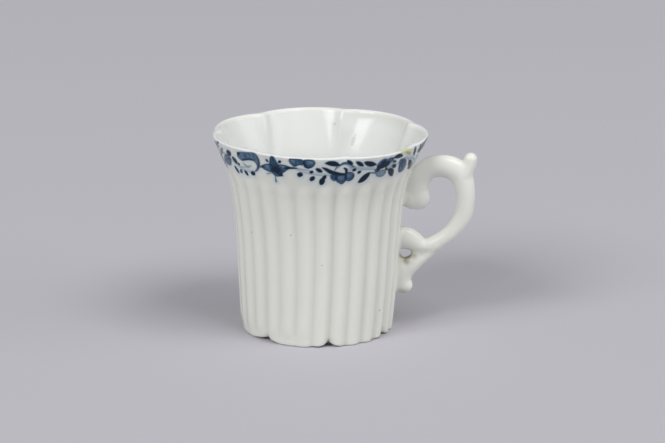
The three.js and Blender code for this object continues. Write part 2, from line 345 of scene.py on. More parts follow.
# How far each broad lift reaches before and after its notch
REACH_BEFORE = np.array([5.0, 5.0, 5.0, 5.0, 5.0, 6.0, 6.5])
REACH_AFTER = np.array([5.0, 5.0, 5.0, 5.0, 5.0, 4.8, 4.0])


def foot_lift(angle):
    notch = nearest_notch(angle)
    near = from_notch(angle, FOOT_RADIUS)
    reach = np.where(place_in_lobe(angle) > 0.5, REACH_BEFORE[notch], REACH_AFTER[notch])
    broad = BROAD_LIFT[notch] * np.maximum(0, 1 - near / reach)
    return groove(near, SHARP_REACH, SHARP_LIFT[notch]) + broad


def foot_rings():
    a = coarse_angles
    recess = inner_radius(a, 0) + FOOT_WALL - FOOT_RIM_WIDTH
    lift = foot_lift(a)
    for share in (0.12, 0.3, 0.5, 0.7, 0.86, 0.95):
        dome = UNDERSIDE_DOME * (1 - share ** 2)
        add_ring(a, (recess - FOOT_RECESS) * share, FOOT_RECESS + dome, "underside")
    for turn in np.linspace(0, math.pi / 2, 5):
        z = FOOT_RECESS * math.cos(turn)
        add_ring(a, recess - FOOT_RECESS * (1 - math.sin(turn)), z, "underside")
    edge = outer_radius(a, 0) - FOOT_ROUND
    for share in (0.12, 0.4, 0.7, 1.0):
        add_ring(a, recess + (edge - recess) * share, lift * share ** 0.5, "foot")
    for turn in np.linspace(0.26, math.pi / 2, 6):
        rise = FOOT_ROUND * (1 - math.cos(turn))
        add_ring(a, outer_radius(a, rise) - FOOT_ROUND * (1 - math.sin(turn)), rise + lift, "wall")
    for share in (0.25, 0.5, 0.75):
        z = FOOT_ROUND + lift + share * (FOOT_NOTCH_HEIGHT - FOOT_ROUND - lift)
        add_ring(a, outer_radius(a, z), z, "wall")


foot_rings()
highest = float(foot_lift(coarse_angles).max())
print(len(rings), "rings in the foot, whose highest arch is", round(highest, 2), "mm")

# %% [markdown]
# The rings of the wall lie closer where its shape changes faster, and closest in the painted band.
# Inside they go down again, round the corner and to the middle of the floor.

# %% The wall, the lip and the inside
FLOOR_Z = FOOT_RECESS + 2.6
FLOOR_ROUND = 4.0
PLAIN_TOP = 45.4
NEAR_BAND = 45.6
BAND_LOW = 48.8
BAND_STEP = 0.17


def wall_rings():
    heights = list(np.arange(FOOT_NOTCH_HEIGHT, PLAIN_TOP, 1.15))
    heights += list(np.arange(NEAR_BAND, BAND_LOW - 0.2, 0.35))
    for z in heights:
        add_ring(coarse_angles, outer_radius(coarse_angles, z), z, "wall")
    for z in np.arange(BAND_LOW, HEIGHT - LIP_RADIUS - BAND_STEP / 2, BAND_STEP):
        add_ring(fine_angles, outer_radius(fine_angles, z), z, "band")
    for turn in np.linspace(0, math.pi, LIP_TURNS):
        add_ring(fine_angles, *lip(fine_angles, turn), "band")


def inside_rings():
    a = coarse_angles
    fillet = FLOOR_Z + FLOOR_ROUND
    heights = list(np.arange(HEIGHT - LIP_RADIUS - 0.4, 44, -0.4)) + list(np.linspace(43.5, fillet, 18))
    for z in heights:
        add_ring(a, inner_radius(a, z), z, "inside")
    corner = inner_radius(a, fillet)
    for turn in np.linspace(0.25, math.pi / 2, 7):
        z = fillet - FLOOR_ROUND * math.sin(turn)
        add_ring(a, corner - FLOOR_ROUND * (1 - math.cos(turn)), z, "inside")
    for share in (0.85, 0.65, 0.45, 0.28, 0.12):
        add_ring(a, (corner - FLOOR_ROUND) * share, FLOOR_Z, "inside")


wall_rings()
inside_rings()
print(len(rings), "rings,", sum(len(ring["angles"]) for ring in rings), "points")

# %% [markdown]
# ## From rings to faces
# Two neighbouring rings with as many points are joined by four-sided faces. Where a coarse ring
# meets a fine one, each coarse edge takes the three fine edges beside it as a fan of triangles.
# The two ends of the skin close on a point.

# %% Join the rings into one skin
def join_rings(first, second, start_first, start_second):
    """Faces between two rings, which face outwards when the rings go up the outside."""
    n, m = len(first["angles"]), len(second["angles"])
    if n == m:
        i = np.arange(n)
        j = (i + 1) % n
        corners = [start_first + i, start_first + j, start_second + j, start_second + i]
        return np.stack(corners, 1).tolist()
    upwards = n < m
    small, big = (n, m) if upwards else (m, n)
    low, high = (start_first, start_second) if upwards else (start_second, start_first)
    ratio = big // small
    faces = []
    for i in range(small):
        j = (i + 1) % small
        middle = i * ratio + ratio // 2
        for step in range(ratio):
            a, b = i * ratio + step, (i * ratio + step + 1) % big
            tip = i if step <= ratio // 2 - (ratio + 1) % 2 else j
            faces.append([low + tip, high + b, high + a])
        faces.append([low + i, low + j, high + (middle + 1) % big])
    return faces if upwards else [face[::-1] for face in faces]


starts = np.cumsum([0] + [len(ring["angles"]) for ring in rings])
skin_faces = []
face_zones = []
for k in range(len(rings) - 1):
    new = join_rings(rings[k], rings[k + 1], int(starts[k]), int(starts[k + 1]))
    skin_faces += new
    face_zones += [rings[k]["zone"]] * len(new)
foot_pole = int(starts[-1])
floor_pole = foot_pole + 1
last_ring = int(starts[-2])
for i in range(COARSE):
    j = (i + 1) % COARSE
    skin_faces += [[foot_pole, j, i], [floor_pole, last_ring + i, last_ring + j]]
    face_zones += ["underside", "inside"]
print(len(skin_faces), "faces in the cup's skin")

# %% [markdown]
# The rings still stand straight and round. Each one is now put in its place: drawn in at the foot,
# turned by the drift, made a little oval at the mouth, and moved and lifted with its level.

# %% Put the rings in their places
FOOT_TUCK = 0.75
FOOT_TUCK_HEIGHT = 20.0
FOOT_TUCK_ANGLE = math.radians(190)
FOOT_TUCK_CURVE = 1.3


def foot_tuck(angle, z):
    """Share by which the foot is drawn in on the side away from the handle."""
    low = np.maximum(0, 1 - z / FOOT_TUCK_HEIGHT) ** FOOT_TUCK_CURVE
    return FOOT_TUCK / FOOT_RADIUS * low * np.maximum(0, np.cos(angle - FOOT_TUCK_ANGLE)) ** 2


def points_of(ring):
    turned = ring["angles"] + drift(ring["angles"], ring["z"])
    radius = ring["radius"] * (1 - foot_tuck(turned, ring["z"]))
    stretch = 1 + OVAL * smooth_step(ring["z"], NECK_Z, HEIGHT)
    x = AXIS_X + bend(ring["z"]) + radius * np.cos(turned) * stretch
    return np.stack([x, radius * np.sin(turned), ring["z"] + mouth_lift(turned, ring["z"])], 1)


skin_points = np.vstack([points_of(ring) for ring in rings])
poles = [[AXIS_X, 0, FOOT_RECESS + UNDERSIDE_DOME], [AXIS_X + bend(FLOOR_Z), 0, FLOOR_Z]]
skin_points = np.vstack([skin_points, poles])
print("the cup's skin spans, mm:", np.ptp(skin_points, axis=0).round(2))

# %% [markdown]
# ## A brush for the border
# The border was painted in cobalt under the glaze: a dark line, a paler wash inside the petals, and
# a faint blue halo where the colour bled into the glaze. An image would be the quick way, but
# strokes that are computed stay sharp and can be changed one by one. The paper of the painting is
# the fine band: s runs along the rim in millimetres from the front of the cup towards the handle,
# and z is the height. Five layers hold how much of each tone lies on a point: line, wash and halo
# of the cobalt, the ochre of the worn chip, and the olive shadow painted under the chip.

# %% The paper and its layers
PAINT_RADIUS = 30.5
ROUND = 2 * math.pi * PAINT_RADIUS
# The painter's spacing wasn't even: the marks at the front sit a little further along
SPACING_SHIFT, SPACING_SWING = 0.3, 0.5
band = [k for k, ring in enumerate(rings) if ring["zone"] == "band"]
paper_s = (PAINT_RADIUS * (fine_angles + math.pi / 2) + ROUND / 2) % ROUND - ROUND / 2
paper_s = paper_s + SPACING_SHIFT + SPACING_SWING * np.sin(paper_s / PAINT_RADIUS)
paper_z = np.array([float(rings[k]["z"][0]) for k in band])
# Over the lip the paper goes on along the curve instead of up
paper_z[-LIP_TURNS:] = HEIGHT - LIP_RADIUS + LIP_RADIUS * np.linspace(0, math.pi, LIP_TURNS)
layers = {name: np.zeros((len(band), FINE)) for name in ("ink", "wash", "halo", "chip", "chip_shadow")}
print("paper of", len(paper_z), "by", FINE, "points round", round(ROUND, 1), "mm of rim")

# %% [markdown]
# A stroke starts as a few points. A smooth curve goes through them, and the hand puts it on the
# paper, a little off on the repeats. Then every point of the paper nearby learns how far it is from
# the curve.

# %% Curves, the hand and distances
PAPER_MARGIN = 2.2
hand = {"shift": 0.0, "random": np.random.default_rng(7), "shake": 0.0}


def spline(points, closed=False, step=0.07):
    """A smooth path through the points, which may carry a width as a third number."""
    p = np.array(points, float)
    if closed:
        p = np.vstack([p[-1], p, p[0], p[1]])
    else:
        p = np.vstack([2 * p[0] - p[1], p, 2 * p[-1] - p[-2]])
    path = []
    for a, b, c, d in zip(p[:-3], p[1:-2], p[2:-1], p[3:]):
        count = max(3, int(np.hypot(*(c - b)[:2]) / step))
        t = np.arange(count)[:, None] / count
        path.append(0.5 * (2 * b + (c - a) * t + (2 * a - 5 * b + 4 * c - d) * t ** 2
                           + (3 * b - a - 3 * c + d) * t ** 3))
    return np.vstack(path + [p[-2:-1]])


def place(path):
    """Moves a path to where the hand is now, with the shake of this repeat."""
    moved = np.array(path, float)
    moved[:, :2] += hand["random"].normal(0, 1, 2) * hand["shake"]
    moved[:, 0] += hand["shift"]
    moved[:, 1] -= mouth_lift(moved[:, 0] / PAINT_RADIUS - math.pi / 2, moved[:, 1])
    return moved


def near_paper(path):
    """The columns of the paper within reach of a path, and their s measured beside the path."""
    middle = (path[:, 0].min() + path[:, 0].max()) / 2
    reach = (path[:, 0].max() - path[:, 0].min()) / 2 + PAPER_MARGIN
    offset = (paper_s - middle + ROUND / 2) % ROUND - ROUND / 2
    columns = np.nonzero(np.abs(offset) < reach)[0]
    return columns, offset[columns] + middle


def edge_distance(path, s):
    """Distance from each point of the paper to a path, less the path's own width there."""
    far = np.full((len(paper_z), len(s)), 1e3)
    for point in path:
        gap = np.hypot(s[None] - point[0], (paper_z - point[1])[:, None])
        far = np.minimum(far, gap - (point[2] if len(point) > 2 else 0))
    return far


print("a test curve has", len(spline([(0, 50), (2, 52), (4, 50)])), "samples")

# %% [markdown]
# The brush's line swells and thins with the pressure of the hand, and it leaves a halo round it.
# Leaves, berries, stems and vines are all made of such lines: a leaf is one press of the brush, a
# berry a dab, a stem a thin line, and a vine a pale line of thin wash with a darker lower side.

# %% Lines of the brush
BRUSH_SPREAD = 0.05
BRUSH_SWELL = 1.12
LINE_TONE = 1.25
HALO_LEAST, HALO_REACH = 0.4, 0.9
LEAF_WIDTH = 0.62
# A leaf's width at five places from its stalk to its tip
LEAF_PRESS = ((0, 0.12), (0.25, 0.8), (0.55, 1.0), (0.82, 0.6), (1, 0.1))


def lay(name, columns, amount):
    layers[name][:, columns] = np.maximum(layers[name][:, columns], amount)


def stroke(points, tone=1.0, layer="ink", soft=0.13):
    """A brush line. Each point gives s, z and half the width, and the wet brush spreads a little."""
    path = place(spline(points))
    path[:, 2] = BRUSH_SWELL * path[:, 2] + BRUSH_SPREAD
    columns, s = near_paper(path)
    far = edge_distance(path, s)
    lay(layer, columns, min(1.0, LINE_TONE * tone) * (1 - smooth_step(far, -soft, soft)))
    halo = np.exp(-(np.maximum(far, 0) / HALO_REACH) ** 2)
    lay("halo", columns, min(1.0, HALO_LEAST + tone) * halo)


def leaf(s0, z0, s1, z1, width, bow=0.0, tone=1.0):
    """A leaf laid with one press of the brush: thin, full, and thin again."""
    start, end = np.array([s0, z0]), np.array([s1, z1])
    along = end - start
    across = np.array([-along[1], along[0]]) / np.hypot(*along)
    points = []
    for share, full in LEAF_PRESS:
        middle = start + along * share + across * bow * 4 * share * (1 - share)
        points.append([*middle, LEAF_WIDTH * width * full])
    stroke(points, tone)


def berry(s, z, radius):
    """A round dab, a little longer than it is high."""
    side, lift = radius * 0.25, radius * 0.1
    stroke([[s - side, z - lift, radius * 0.85], [s + side, z + lift, radius * 0.8]])


def stem(points, width=0.13, tone=0.45):
    stroke([[s, z, width] for s, z in points], tone)


def vine(points, width=0.3, tone=0.26):
    """A pale, broad line of thin wash, with a darker line along its lower side."""
    stroke([[s, z, width] for s, z in points], tone, layer="wash", soft=0.3)
    stroke([[s, z - 0.8 * width, 0.02] for s, z in points], 0.28)


print("brush strokes spread by", BRUSH_SPREAD, "mm, and the halo reaches", HALO_REACH, "mm")

# %% [markdown]
# A petal is drawn the other way round: first its dark outline, closed on itself, and then the wash
# that fills it. A point of the paper is inside the outline when a line from it to the side crosses
# the outline an odd number of times. Some petals have a lighter place where the wash is thin.

# %% Petals
EDGE_WIDTH = 0.17
EDGE_SOFTNESS = 0.1
WASH_TONE = 1.6
WASH_SOFTNESS = 0.12
LIGHT_ACROSS, LIGHT_UP, LIGHT_DEPTH = 0.85, 0.7, 0.13


def petal(points, tone=0.6, light=None, line=0.9):
    """A washed shape with a dark edge. light is where the wash is thin."""
    path = place(spline(points, closed=True))
    columns, s = near_paper(path)
    far = edge_distance(path, s)
    inside = np.zeros(far.shape, bool)
    for a, b in zip(path, np.roll(path, -1, 0)):
        crosses = (a[1] > paper_z) != (b[1] > paper_z)
        rise = b[1] - a[1] if abs(b[1] - a[1]) > 1e-9 else 1e-9
        at = a[0] + (b[0] - a[0]) * (paper_z - a[1]) / rise
        inside ^= crosses[:, None] & (s[None] < at[:, None])
    signed = np.where(inside, -far, far)
    body = min(1.0, tone * WASH_TONE) * np.ones(far.shape)
    if light is not None:
        light_s, light_z = light[0] + hand["shift"], light[1]
        gap = np.hypot((s[None] - light_s) / LIGHT_ACROSS, (paper_z[:, None] - light_z) / LIGHT_UP)
        body = body * (1 - LIGHT_DEPTH * np.exp(-gap ** 2))
    lay("wash", columns, body * (1 - smooth_step(signed, -WASH_SOFTNESS, WASH_SOFTNESS)))
    edge = 1 - smooth_step(far, EDGE_WIDTH - EDGE_SOFTNESS, EDGE_WIDTH + 1.3 * EDGE_SOFTNESS)
    lay("ink", columns, line * edge)
    lay("halo", columns, np.exp(-(np.maximum(signed, 0) / HALO_REACH) ** 2))


print("a petal's dark edge is", 2 * EDGE_WIDTH, "mm wide")

# %% [markdown]
# ## The flowers of the border
# The painter worked from a stock of small motifs: a crescent flower, a lily, a pair of buds, sprigs
# with berries, an open flower on a branch and loose leaves. Each motif is a function that lays its
# strokes where the front of the cup shows them, so that the same function can be used again
# further round with the hand moved along and a little shake.

# %% Crescent flower and lily
def crescent_flower():
    petal([(-25.5, 55.6), (-25.3, 56.6), (-24.3, 57.3), (-22.8, 57.6), (-21, 57.8), (-19, 58.1),
           (-17.8, 57.9), (-17.0, 56.9), (-16.8, 55.6), (-17.2, 54.4), (-17.9, 53.3), (-18.8, 52.5),
           (-20.1, 51.9), (-19.0, 52.9), (-18.4, 53.8), (-18.5, 54.8), (-19.4, 55.5), (-20.9, 55.6),
           (-22.4, 55.2), (-24.2, 54.8)], 0.58, line=0.6)
    shading = ((-22.4, 57.5, 55.6, 0.38), (-20.6, 57.7, 56.2, 0.26), (-19.0, 58.0, 56.6, 0.34))
    for s, top, bottom, tone in shading:
        middle = (top + bottom) / 2
        stroke([[s, top, 0.1], [s + 0.25, middle, 0.3], [s + 0.1, bottom, 0.25]], tone, soft=0.3)
    stroke([[-25.2, 56.3, 0.2], [-24.9, 56.9, 0.34], [-24.3, 57.0, 0.15]], 0.8)
    stroke([[-24.2, 54.9, 0.14], [-22.4, 55.4, 0.22], [-20.8, 55.7, 0.27], [-19.2, 55.7, 0.2]], 0.7)
    stroke([[-17.7, 57.7, 0.2], [-17.1, 56.4, 0.25], [-17.5, 54.7, 0.3], [-18.1, 53.4, 0.25]], 0.55)
    stroke([[-24.0, 53.9, 0.16], [-22.8, 53.1, 0.34], [-21.8, 53.3, 0.2], [-20.9, 53.7, 0.06]], 0.42,
           soft=0.2)
    stem([(-25.8, 52.4), (-24.6, 52.7), (-23.4, 52.8)], 0.14, 0.3)
    vine([(-30.5, 55.0), (-28.2, 53.4), (-26.0, 52.3), (-23.0, 51.8), (-20.4, 51.9)], 0.42)
    leaf(-21.9, 51.0, -20.2, 51.5, 0.9)
    leaf(-24.6, 51.5, -23.5, 50.2, 0.85, tone=0.8)
    leaf(-27.0, 50.5, -25.7, 51.5, 0.75, tone=0.7)


def lily():
    petal([(-13.2, 55.1), (-13.0, 56.6), (-12.6, 57.7), (-12.1, 58.2), (-11.5, 57.8), (-11.0, 56.7),
           (-10.6, 55.3)], 0.95)
    petal([(-12.6, 53.2), (-14.0, 53.1), (-15.5, 53.5), (-16.6, 54.2), (-15.5, 54.9), (-14.0, 55.4),
           (-12.8, 55.3)], 1.0, (-14.6, 54.3))
    folds = ((-12.4, 56.2, -12.2, 53.2), (-11.5, 56.4, -11.2, 53.0), (-10.7, 55.2, -10.4, 53.2),
             (-13.2, 54.9, -13.0, 53.4), (-9.8, 54.9, -9.4, 53.9))
    for s, top, foot, bottom in folds:
        stroke([[s, top, 0.15], [foot, bottom, 0.3]], 0.5, soft=0.35)
    petal([(-10.2, 53.1), (-9.0, 53.6), (-8.0, 54.4), (-7.0, 54.9), (-6.0, 55.05), (-7.2, 55.3), (-8.6, 55.7),
           (-10.6, 55.5)], 0.85, (-9.3, 54.9))
    petal([(-13.0, 53.4), (-12.7, 52.4), (-11.7, 51.9), (-10.8, 52.0), (-9.8, 52.3), (-10.1, 53.5)], 1.0)
    stroke([[-13.1, 54.7, 0.6], [-11.6, 54.9, 0.8], [-10.2, 54.6, 0.6]], 1.0, layer="wash")
    stroke([[-12.7, 54.0, 0.55], [-11.6, 53.9, 0.95], [-10.6, 54.0, 0.6]], 0.9, soft=0.35)
    veins = ((-12.8, 57.2, -12.5, 55.0), (-12.0, 57.9, -11.9, 55.0), (-11.1, 56.7, -11.3, 54.9))
    for s, top, foot, bottom in veins:
        stroke([[s, top, 0.16], [foot, bottom, 0.24]], 0.55, soft=0.2)
    stroke([[-11.8, 53.4, 0.3], [-10.9, 52.7, 0.3], [-9.8, 52.3, 0.22]], 0.85)
    stroke([[-8.9, 54.7, 0.12], [-7.4, 55.0, 0.3], [-5.2, 55.05, 0.16]], 1.0)
    stroke([[-17.6, 54.0, 0.3], [-16.6, 54.2, 0.3], [-15.4, 54.3, 0.1]], 0.65)
    stroke([[-12.2, 52.1, 0.16], [-12.2, 51.2, 0.14], [-12.3, 50.1, 0.26]], 0.65)
    leaf(-14.3, 56.8, -13.6, 56.2, 0.6, tone=0.75)
    leaf(-10.3, 56.4, -9.6, 57.0, 0.6, tone=0.8)
    stem([(-14.9, 52.2), (-14.0, 52.5), (-13.1, 52.8)], 0.2, 0.4)


left_motifs = [crescent_flower, lily]
print("motifs left of the front:", len(left_motifs))

# %% [markdown]
# The middle of the border, over the front notch, has two closed buds with berries under them, and a
# branch with an open flower. The darkest tones of the whole border are here.

# %% Buds, berries and the open flower
def double_bud():
    petal([(-6.9, 57.8), (-6.9, 56.8), (-6.3, 56.1), (-5.6, 55.7), (-4.9, 56.0), (-4.2, 56.3), (-3.6, 56.2),
           (-3.1, 56.7), (-3.1, 57.3), (-3.7, 57.9), (-5.4, 58.0)], 0.66, (-6.0, 57.0))
    petal([(-3.2, 57.4), (-3.1, 56.3), (-2.7, 55.5), (-1.9, 55.2), (-1.0, 55.5), (-0.3, 56.1), (0.0, 56.9),
           (-0.4, 57.7), (-1.6, 57.9), (-2.6, 57.8)], 0.8, (-1.3, 56.8))
    stroke([[-2.9, 57.2, 0.2], [-2.8, 56.1, 0.34], [-2.0, 55.4, 0.25], [-1.1, 55.6, 0.12]], 0.75, soft=0.25)
    for s in (-5.3, -4.1):
        stroke([[s - 0.2, 57.8, 0.12], [s, 57.0, 0.22], [s + 0.1, 56.3, 0.12]], 0.45, soft=0.2)
    stroke([[-5.2, 55.1, 0.12], [-5.9, 55.4, 0.14], [-6.4, 56.0, 0.1]], 0.5)
    vine([(-5.3, 55.1), (-4.2, 54.4), (-2.2, 53.8), (0.0, 53.4), (2.5, 53.1), (4.8, 53.2)], 0.38)
    stem([(-5.0, 55.0), (-3.6, 54.8), (-1.6, 54.5)], 0.1, 0.4)


def berry_sprig():
    berry(-4.3, 53.05, 0.72)
    berry(-0.95, 54.0, 0.48)
    leaf(-1.3, 51.3, -0.1, 52.4, 0.95)
    leaf(0.3, 55.1, 2.2, 54.0, 0.85, tone=0.8)
    leaf(2.0, 50.0, 2.6, 51.9, 1.25)
    leaf(2.2, 51.2, 3.4, 52.9, 0.85)


def branch_flower():
    stroke([[2.2, 55.4, 0.14], [3.3, 54.8, 0.42], [4.6, 54.0, 0.52], [6.0, 53.5, 0.48],
            [7.6, 53.1, 0.4], [9.2, 53.0, 0.3]], 1.0)
    leaf(2.9, 56.8, 7.4, 55.8, 1.15, bow=0.3)
    stroke([[6.6, 56.0, 0.2], [6.3, 55.3, 0.2], [5.9, 54.4, 0.12]], 0.6)
    petal([(6.5, 55.0), (7.6, 55.7), (9.0, 55.9), (10.3, 55.3), (12.2, 54.8), (11.5, 55.5), (10.4, 56.4),
           (9.0, 56.8), (7.7, 56.4), (6.6, 55.7)], 0.34, line=0.3)
    stroke([[7.2, 56.0, 0.15], [8.6, 56.5, 0.28], [10.0, 56.2, 0.2], [11.5, 55.3, 0.12]], 0.7)
    stroke([[8.7, 55.0, 0.2], [9.4, 54.4, 0.36], [9.5, 53.5, 0.3]], 0.95)
    petal([(4.9, 53.0), (4.9, 52.0), (5.6, 51.2), (6.5, 51.0), (7.0, 51.8), (6.8, 53.1)], 0.75, line=0.6)
    petal([(6.7, 52.9), (6.6, 51.6), (7.1, 50.7), (8.0, 50.2), (8.7, 49.9), (9.4, 50.4), (9.8, 51.2),
           (9.5, 52.9)], 0.85, (8.2, 51.7))
    petal([(9.3, 53.4), (9.5, 51.9), (9.9, 51.1), (10.9, 50.8), (11.8, 51.2), (12.2, 52.1), (11.9, 53.0),
           (10.9, 53.5)], 0.9, (10.5, 52.4))
    stroke([[9.4, 52.8, 0.2], [9.6, 51.7, 0.25], [9.8, 50.9, 0.12]], 0.7)
    stroke([[6.8, 52.6, 0.2], [6.7, 51.4, 0.22], [7.4, 50.6, 0.12]], 0.55)


front_motifs = [double_bud, berry_sprig, branch_flower]
print("motifs over the front notch:", len(front_motifs))

# %% [markdown]
# Towards the handle the border runs out in sprays: pointed leaves, a small flower of five petals
# with dark stamens, and broad leaves. A last cluster of leaves closes the border at the far left.

# %% Sprays of leaves and the small flower
def leaf_spray():
    leaf(9.4, 57.2, 11.1, 56.1, 0.75, tone=0.85)
    leaf(11.9, 56.9, 14.5, 55.3, 0.85)
    leaf(14.4, 56.6, 18.6, 55.3, 1.15, bow=-0.2)
    leaf(17.2, 52.9, 14.2, 50.0, 1.5, bow=0.2)
    berry(11.85, 54.3, 0.5)
    berry(13.6, 53.4, 0.48)
    vine([(10.6, 54.9), (12.4, 54.9), (15.0, 54.5), (17.4, 54.2), (19.4, 53.8)], 0.42, 0.34)
    vine([(10.2, 54.2), (12.6, 54.0), (14.6, 54.2)], 0.2)
    stem([(17.1, 52.8), (18.2, 52.7), (19.4, 52.4)], 0.16, 0.7)


def small_flower():
    petal([(19.7, 52.8), (20.0, 51.7), (21.2, 51.1), (22.8, 51.0), (23.5, 51.8), (23.0, 52.9), (21.5, 53.1)],
          0.5, (21.6, 52.1), line=0.6)
    petal([(18.7, 53.6), (19.2, 52.7), (20.2, 52.8), (20.6, 53.6), (19.9, 54.2)], 0.6, line=0.5)
    petal([(19.0, 54.6), (19.4, 56.0), (20.8, 56.8), (22.0, 56.4), (21.6, 54.9)], 1.0, line=0.6)
    petal([(21.7, 55.2), (22.2, 56.5), (23.6, 56.8), (24.8, 56.3), (23.8, 55.2)], 0.8, line=0.6)
    petal([(23.2, 54.9), (24.4, 55.2), (25.0, 54.4), (24.5, 53.4), (23.3, 53.5)], 0.3, line=0.35)
    stamens = ((20.3, 54.3, 0.95), (21.5, 54.7, 1.05), (22.6, 54.9, 0.95), (21.0, 55.6, 0.7),
               (20.0, 53.7, 0.5))
    for s, z, size in stamens:
        berry(s, z, size)
    stroke([[22.6, 53.8, 0.25], [23.1, 53.2, 0.25], [24.2, 52.8, 0.15]], 0.9)


def leaf_pair():
    leaf(24.4, 56.6, 28.6, 56.2, 1.0, bow=0.3)
    leaf(25.1, 54.2, 27.4, 53.0, 0.85)
    leaf(24.1, 53.0, 27.9, 50.1, 1.35, bow=0.2)
    leaf(24.4, 55.6, 26.4, 54.8, 0.6, tone=0.75)
    vine([(23.6, 53.6), (25.5, 53.4), (27.2, 54.0), (28.5, 54.9), (31.5, 55.2), (34.5, 53.9)], 0.3, 0.4)


def broad_leaf():
    petal([(27.9, 55.2), (29.5, 55.2), (31.5, 54.6), (33.2, 53.4), (34.5, 51.8), (34.4, 50.7), (32.8, 50.4),
           (31.0, 50.7), (29.8, 51.7), (28.7, 53.3)], 0.7, line=0.6)
    stroke([[29.2, 54.6, 0.3], [30.6, 54.1, 0.5], [32.0, 53.5, 0.3]], 0.6, soft=0.3)
    stroke([[28.9, 54.0, 0.12], [31.2, 52.6, 0.22], [33.9, 50.9, 0.12]], 0.6)
    leaf(35.2, 57.6, 37.2, 54.4, 0.9)
    leaf(34.8, 53.6, 39.9, 49.6, 1.15, bow=0.15)
    leaf(38.2, 57.6, 41.6, 54.6, 0.8, tone=0.85)
    vine([(34.6, 54.6), (36.8, 53.8), (39.5, 52.8)], 0.3, 0.4)


def leaf_cluster():
    leaf(-30.9, 55.4, -28.5, 56.5, 1.25)
    leaf(-28.5, 54.9, -26.9, 53.4, 1.2)
    berry(-26.3, 53.2, 0.42)
    leaf(-29.2, 52.0, -28.0, 50.1, 1.0, tone=0.8)
    petal([(-29.8, 54.6), (-31.5, 55.1), (-33.5, 54.3), (-35.5, 52.8), (-36.2, 51.8), (-34, 51.5),
           (-32, 51.7), (-30.4, 52.9)], 0.6, line=0.6)
    stroke([[-30.2, 54.1, 0.12], [-32.5, 53.5, 0.22], [-35.4, 52.2, 0.1]], 0.6)
    leaf(-37.6, 53.6, -32.6, 56.8, 0.85, tone=0.6)
    leaf(-36.2, 57.5, -34.4, 58.1, 0.6, tone=0.8)


right_motifs = [leaf_spray, small_flower, leaf_pair]
print("motifs right of the front:", len(right_motifs), "and the broad leaf and the leaf cluster")

# %% [markdown]
# ## Painting round the rim
# Three repeats of the same motifs fill the rim. The front repeat is laid without shake, because
# that is the one the photograph shows. The other two, which it doesn't show, are moved along by a
# third of the way round, and each stroke lands a little off.
# The worn chip at the right of the rim goes on last: ochre clay where the glaze is gone, and a thin
# olive shadow under it.

# %% Paint the three repeats
SHAKE = 0.12
left_to_right = left_motifs + front_motifs + right_motifs
repeats = [(0.0, 0.0, [leaf_cluster] + left_to_right + [broad_leaf]),
           (ROUND / 3, SHAKE, left_to_right + [broad_leaf]),
           (-ROUND / 3, SHAKE, left_to_right)]
for shift, shake, motifs in repeats:
    hand["shift"] = shift
    hand["shake"] = shake
    for motif in motifs:
        motif()
hand["shift"] = hand["shake"] = 0.0
worn_edge = [[27.2, 58.6, 0.5], [29.4, 57.9, 0.85], [31.4, 57.1, 0.75], [33.2, 56.3, 0.4]]
stroke(worn_edge, 0.85, layer="chip", soft=0.3)
# The olive under the chip is a painted shadow
stroke([[29.6, 57.2, 0.1], [31.6, 56.5, 0.35], [33.6, 55.7, 0.3]], 0.6, layer="chip_shadow", soft=0.3)
print("share of the band under dark lines:", round(float((layers["ink"] > 0.5).mean()), 3))

# %% [markdown]
# ## Masks on the skin
# The material has to know where glaze gathers, where the rim is worn and where the paint lies.
# Each of these is a number on every point of the mesh, kept in three colour attributes: cobalt
# holds the line, the wash and the halo; glaze holds the pooled glaze between reeds, which is partly
# painted shade that deepens their valleys, the amber edge under the rim and the white lip; chip
# holds the ochre of the worn place and the olive shadow painted under it.

# %% Work out the masks
POOL_SHADE_CURVE = 2.5
NOTCH_POOL_SHADE, NOTCH_WIDTH = 0.3, 1.5
FLOOR_POOL, FLOOR_BAND = 0.9, 3.0
AMBER_FRONT, AMBER_SPREAD = -12, 14
AMBER_RISE, AMBER_WIDTH = -0.3, 0.8
# The white of the lip, along the curve of the edge: where it starts and where it stops
LIP_START, LIP_STOP = (0.15, 0.7), (1.1, 1.7)
cobalt = np.zeros((len(skin_points), 4))
glaze = np.zeros((len(skin_points), 4))
chip = np.zeros((len(skin_points), 4))
cobalt[:, 3] = glaze[:, 3] = chip[:, 3] = 1
for k, ring in enumerate(rings):
    rows = slice(int(starts[k]), int(starts[k + 1]))
    angles, z = ring["angles"], ring["z"]
    if ring["zone"] in ("wall", "band"):
        across, left = reed_profile(angles, z)
        near = from_notch(angles, ring["radius"])
        # Pooled glaze in the reed valleys and at the notches, partly painted shade that deepens the valleys
        valley_pool_and_shade = np.abs(across) ** POOL_SHADE_CURVE * left * reed_depth(angles) * foot_fade(angles, z)
        glaze[rows, 0] = np.clip(valley_pool_and_shade + NOTCH_POOL_SHADE * np.exp(-(near / NOTCH_WIDTH) ** 2), 0, 2)
    if ring["zone"] == "inside":
        corner = np.exp(-((z - FLOOR_Z) / FLOOR_BAND) ** 2)
        glaze[rows, 0] = FLOOR_POOL * corner * smooth_step(ring["radius"], 8, 18)
    if k in band:
        row = band.index(k)
        for layer, name in enumerate(("ink", "wash", "halo")):
            cobalt[rows, layer] = layers[name][row]
        rise = paper_z[row] - (HEIGHT - LIP_RADIUS)
        cobalt[rows, 2] *= 1 - float(smooth_step(rise, 0.0, 0.6))
        front_left = 0.2 + 0.8 * np.exp(-((paper_s - AMBER_FRONT) / AMBER_SPREAD) ** 2)
        glaze[rows, 1] = front_left * math.exp(-((rise - AMBER_RISE) / AMBER_WIDTH) ** 2)
        glaze[rows, 2] = smooth_step(rise, *LIP_START) * (1 - smooth_step(rise, *LIP_STOP))
        chip[rows, 0] = layers["chip"][row]
        chip[rows, 1] = layers["chip_shadow"][row]
print("points with pooled glaze:", int((glaze[:, 0] > 0.5).sum()))

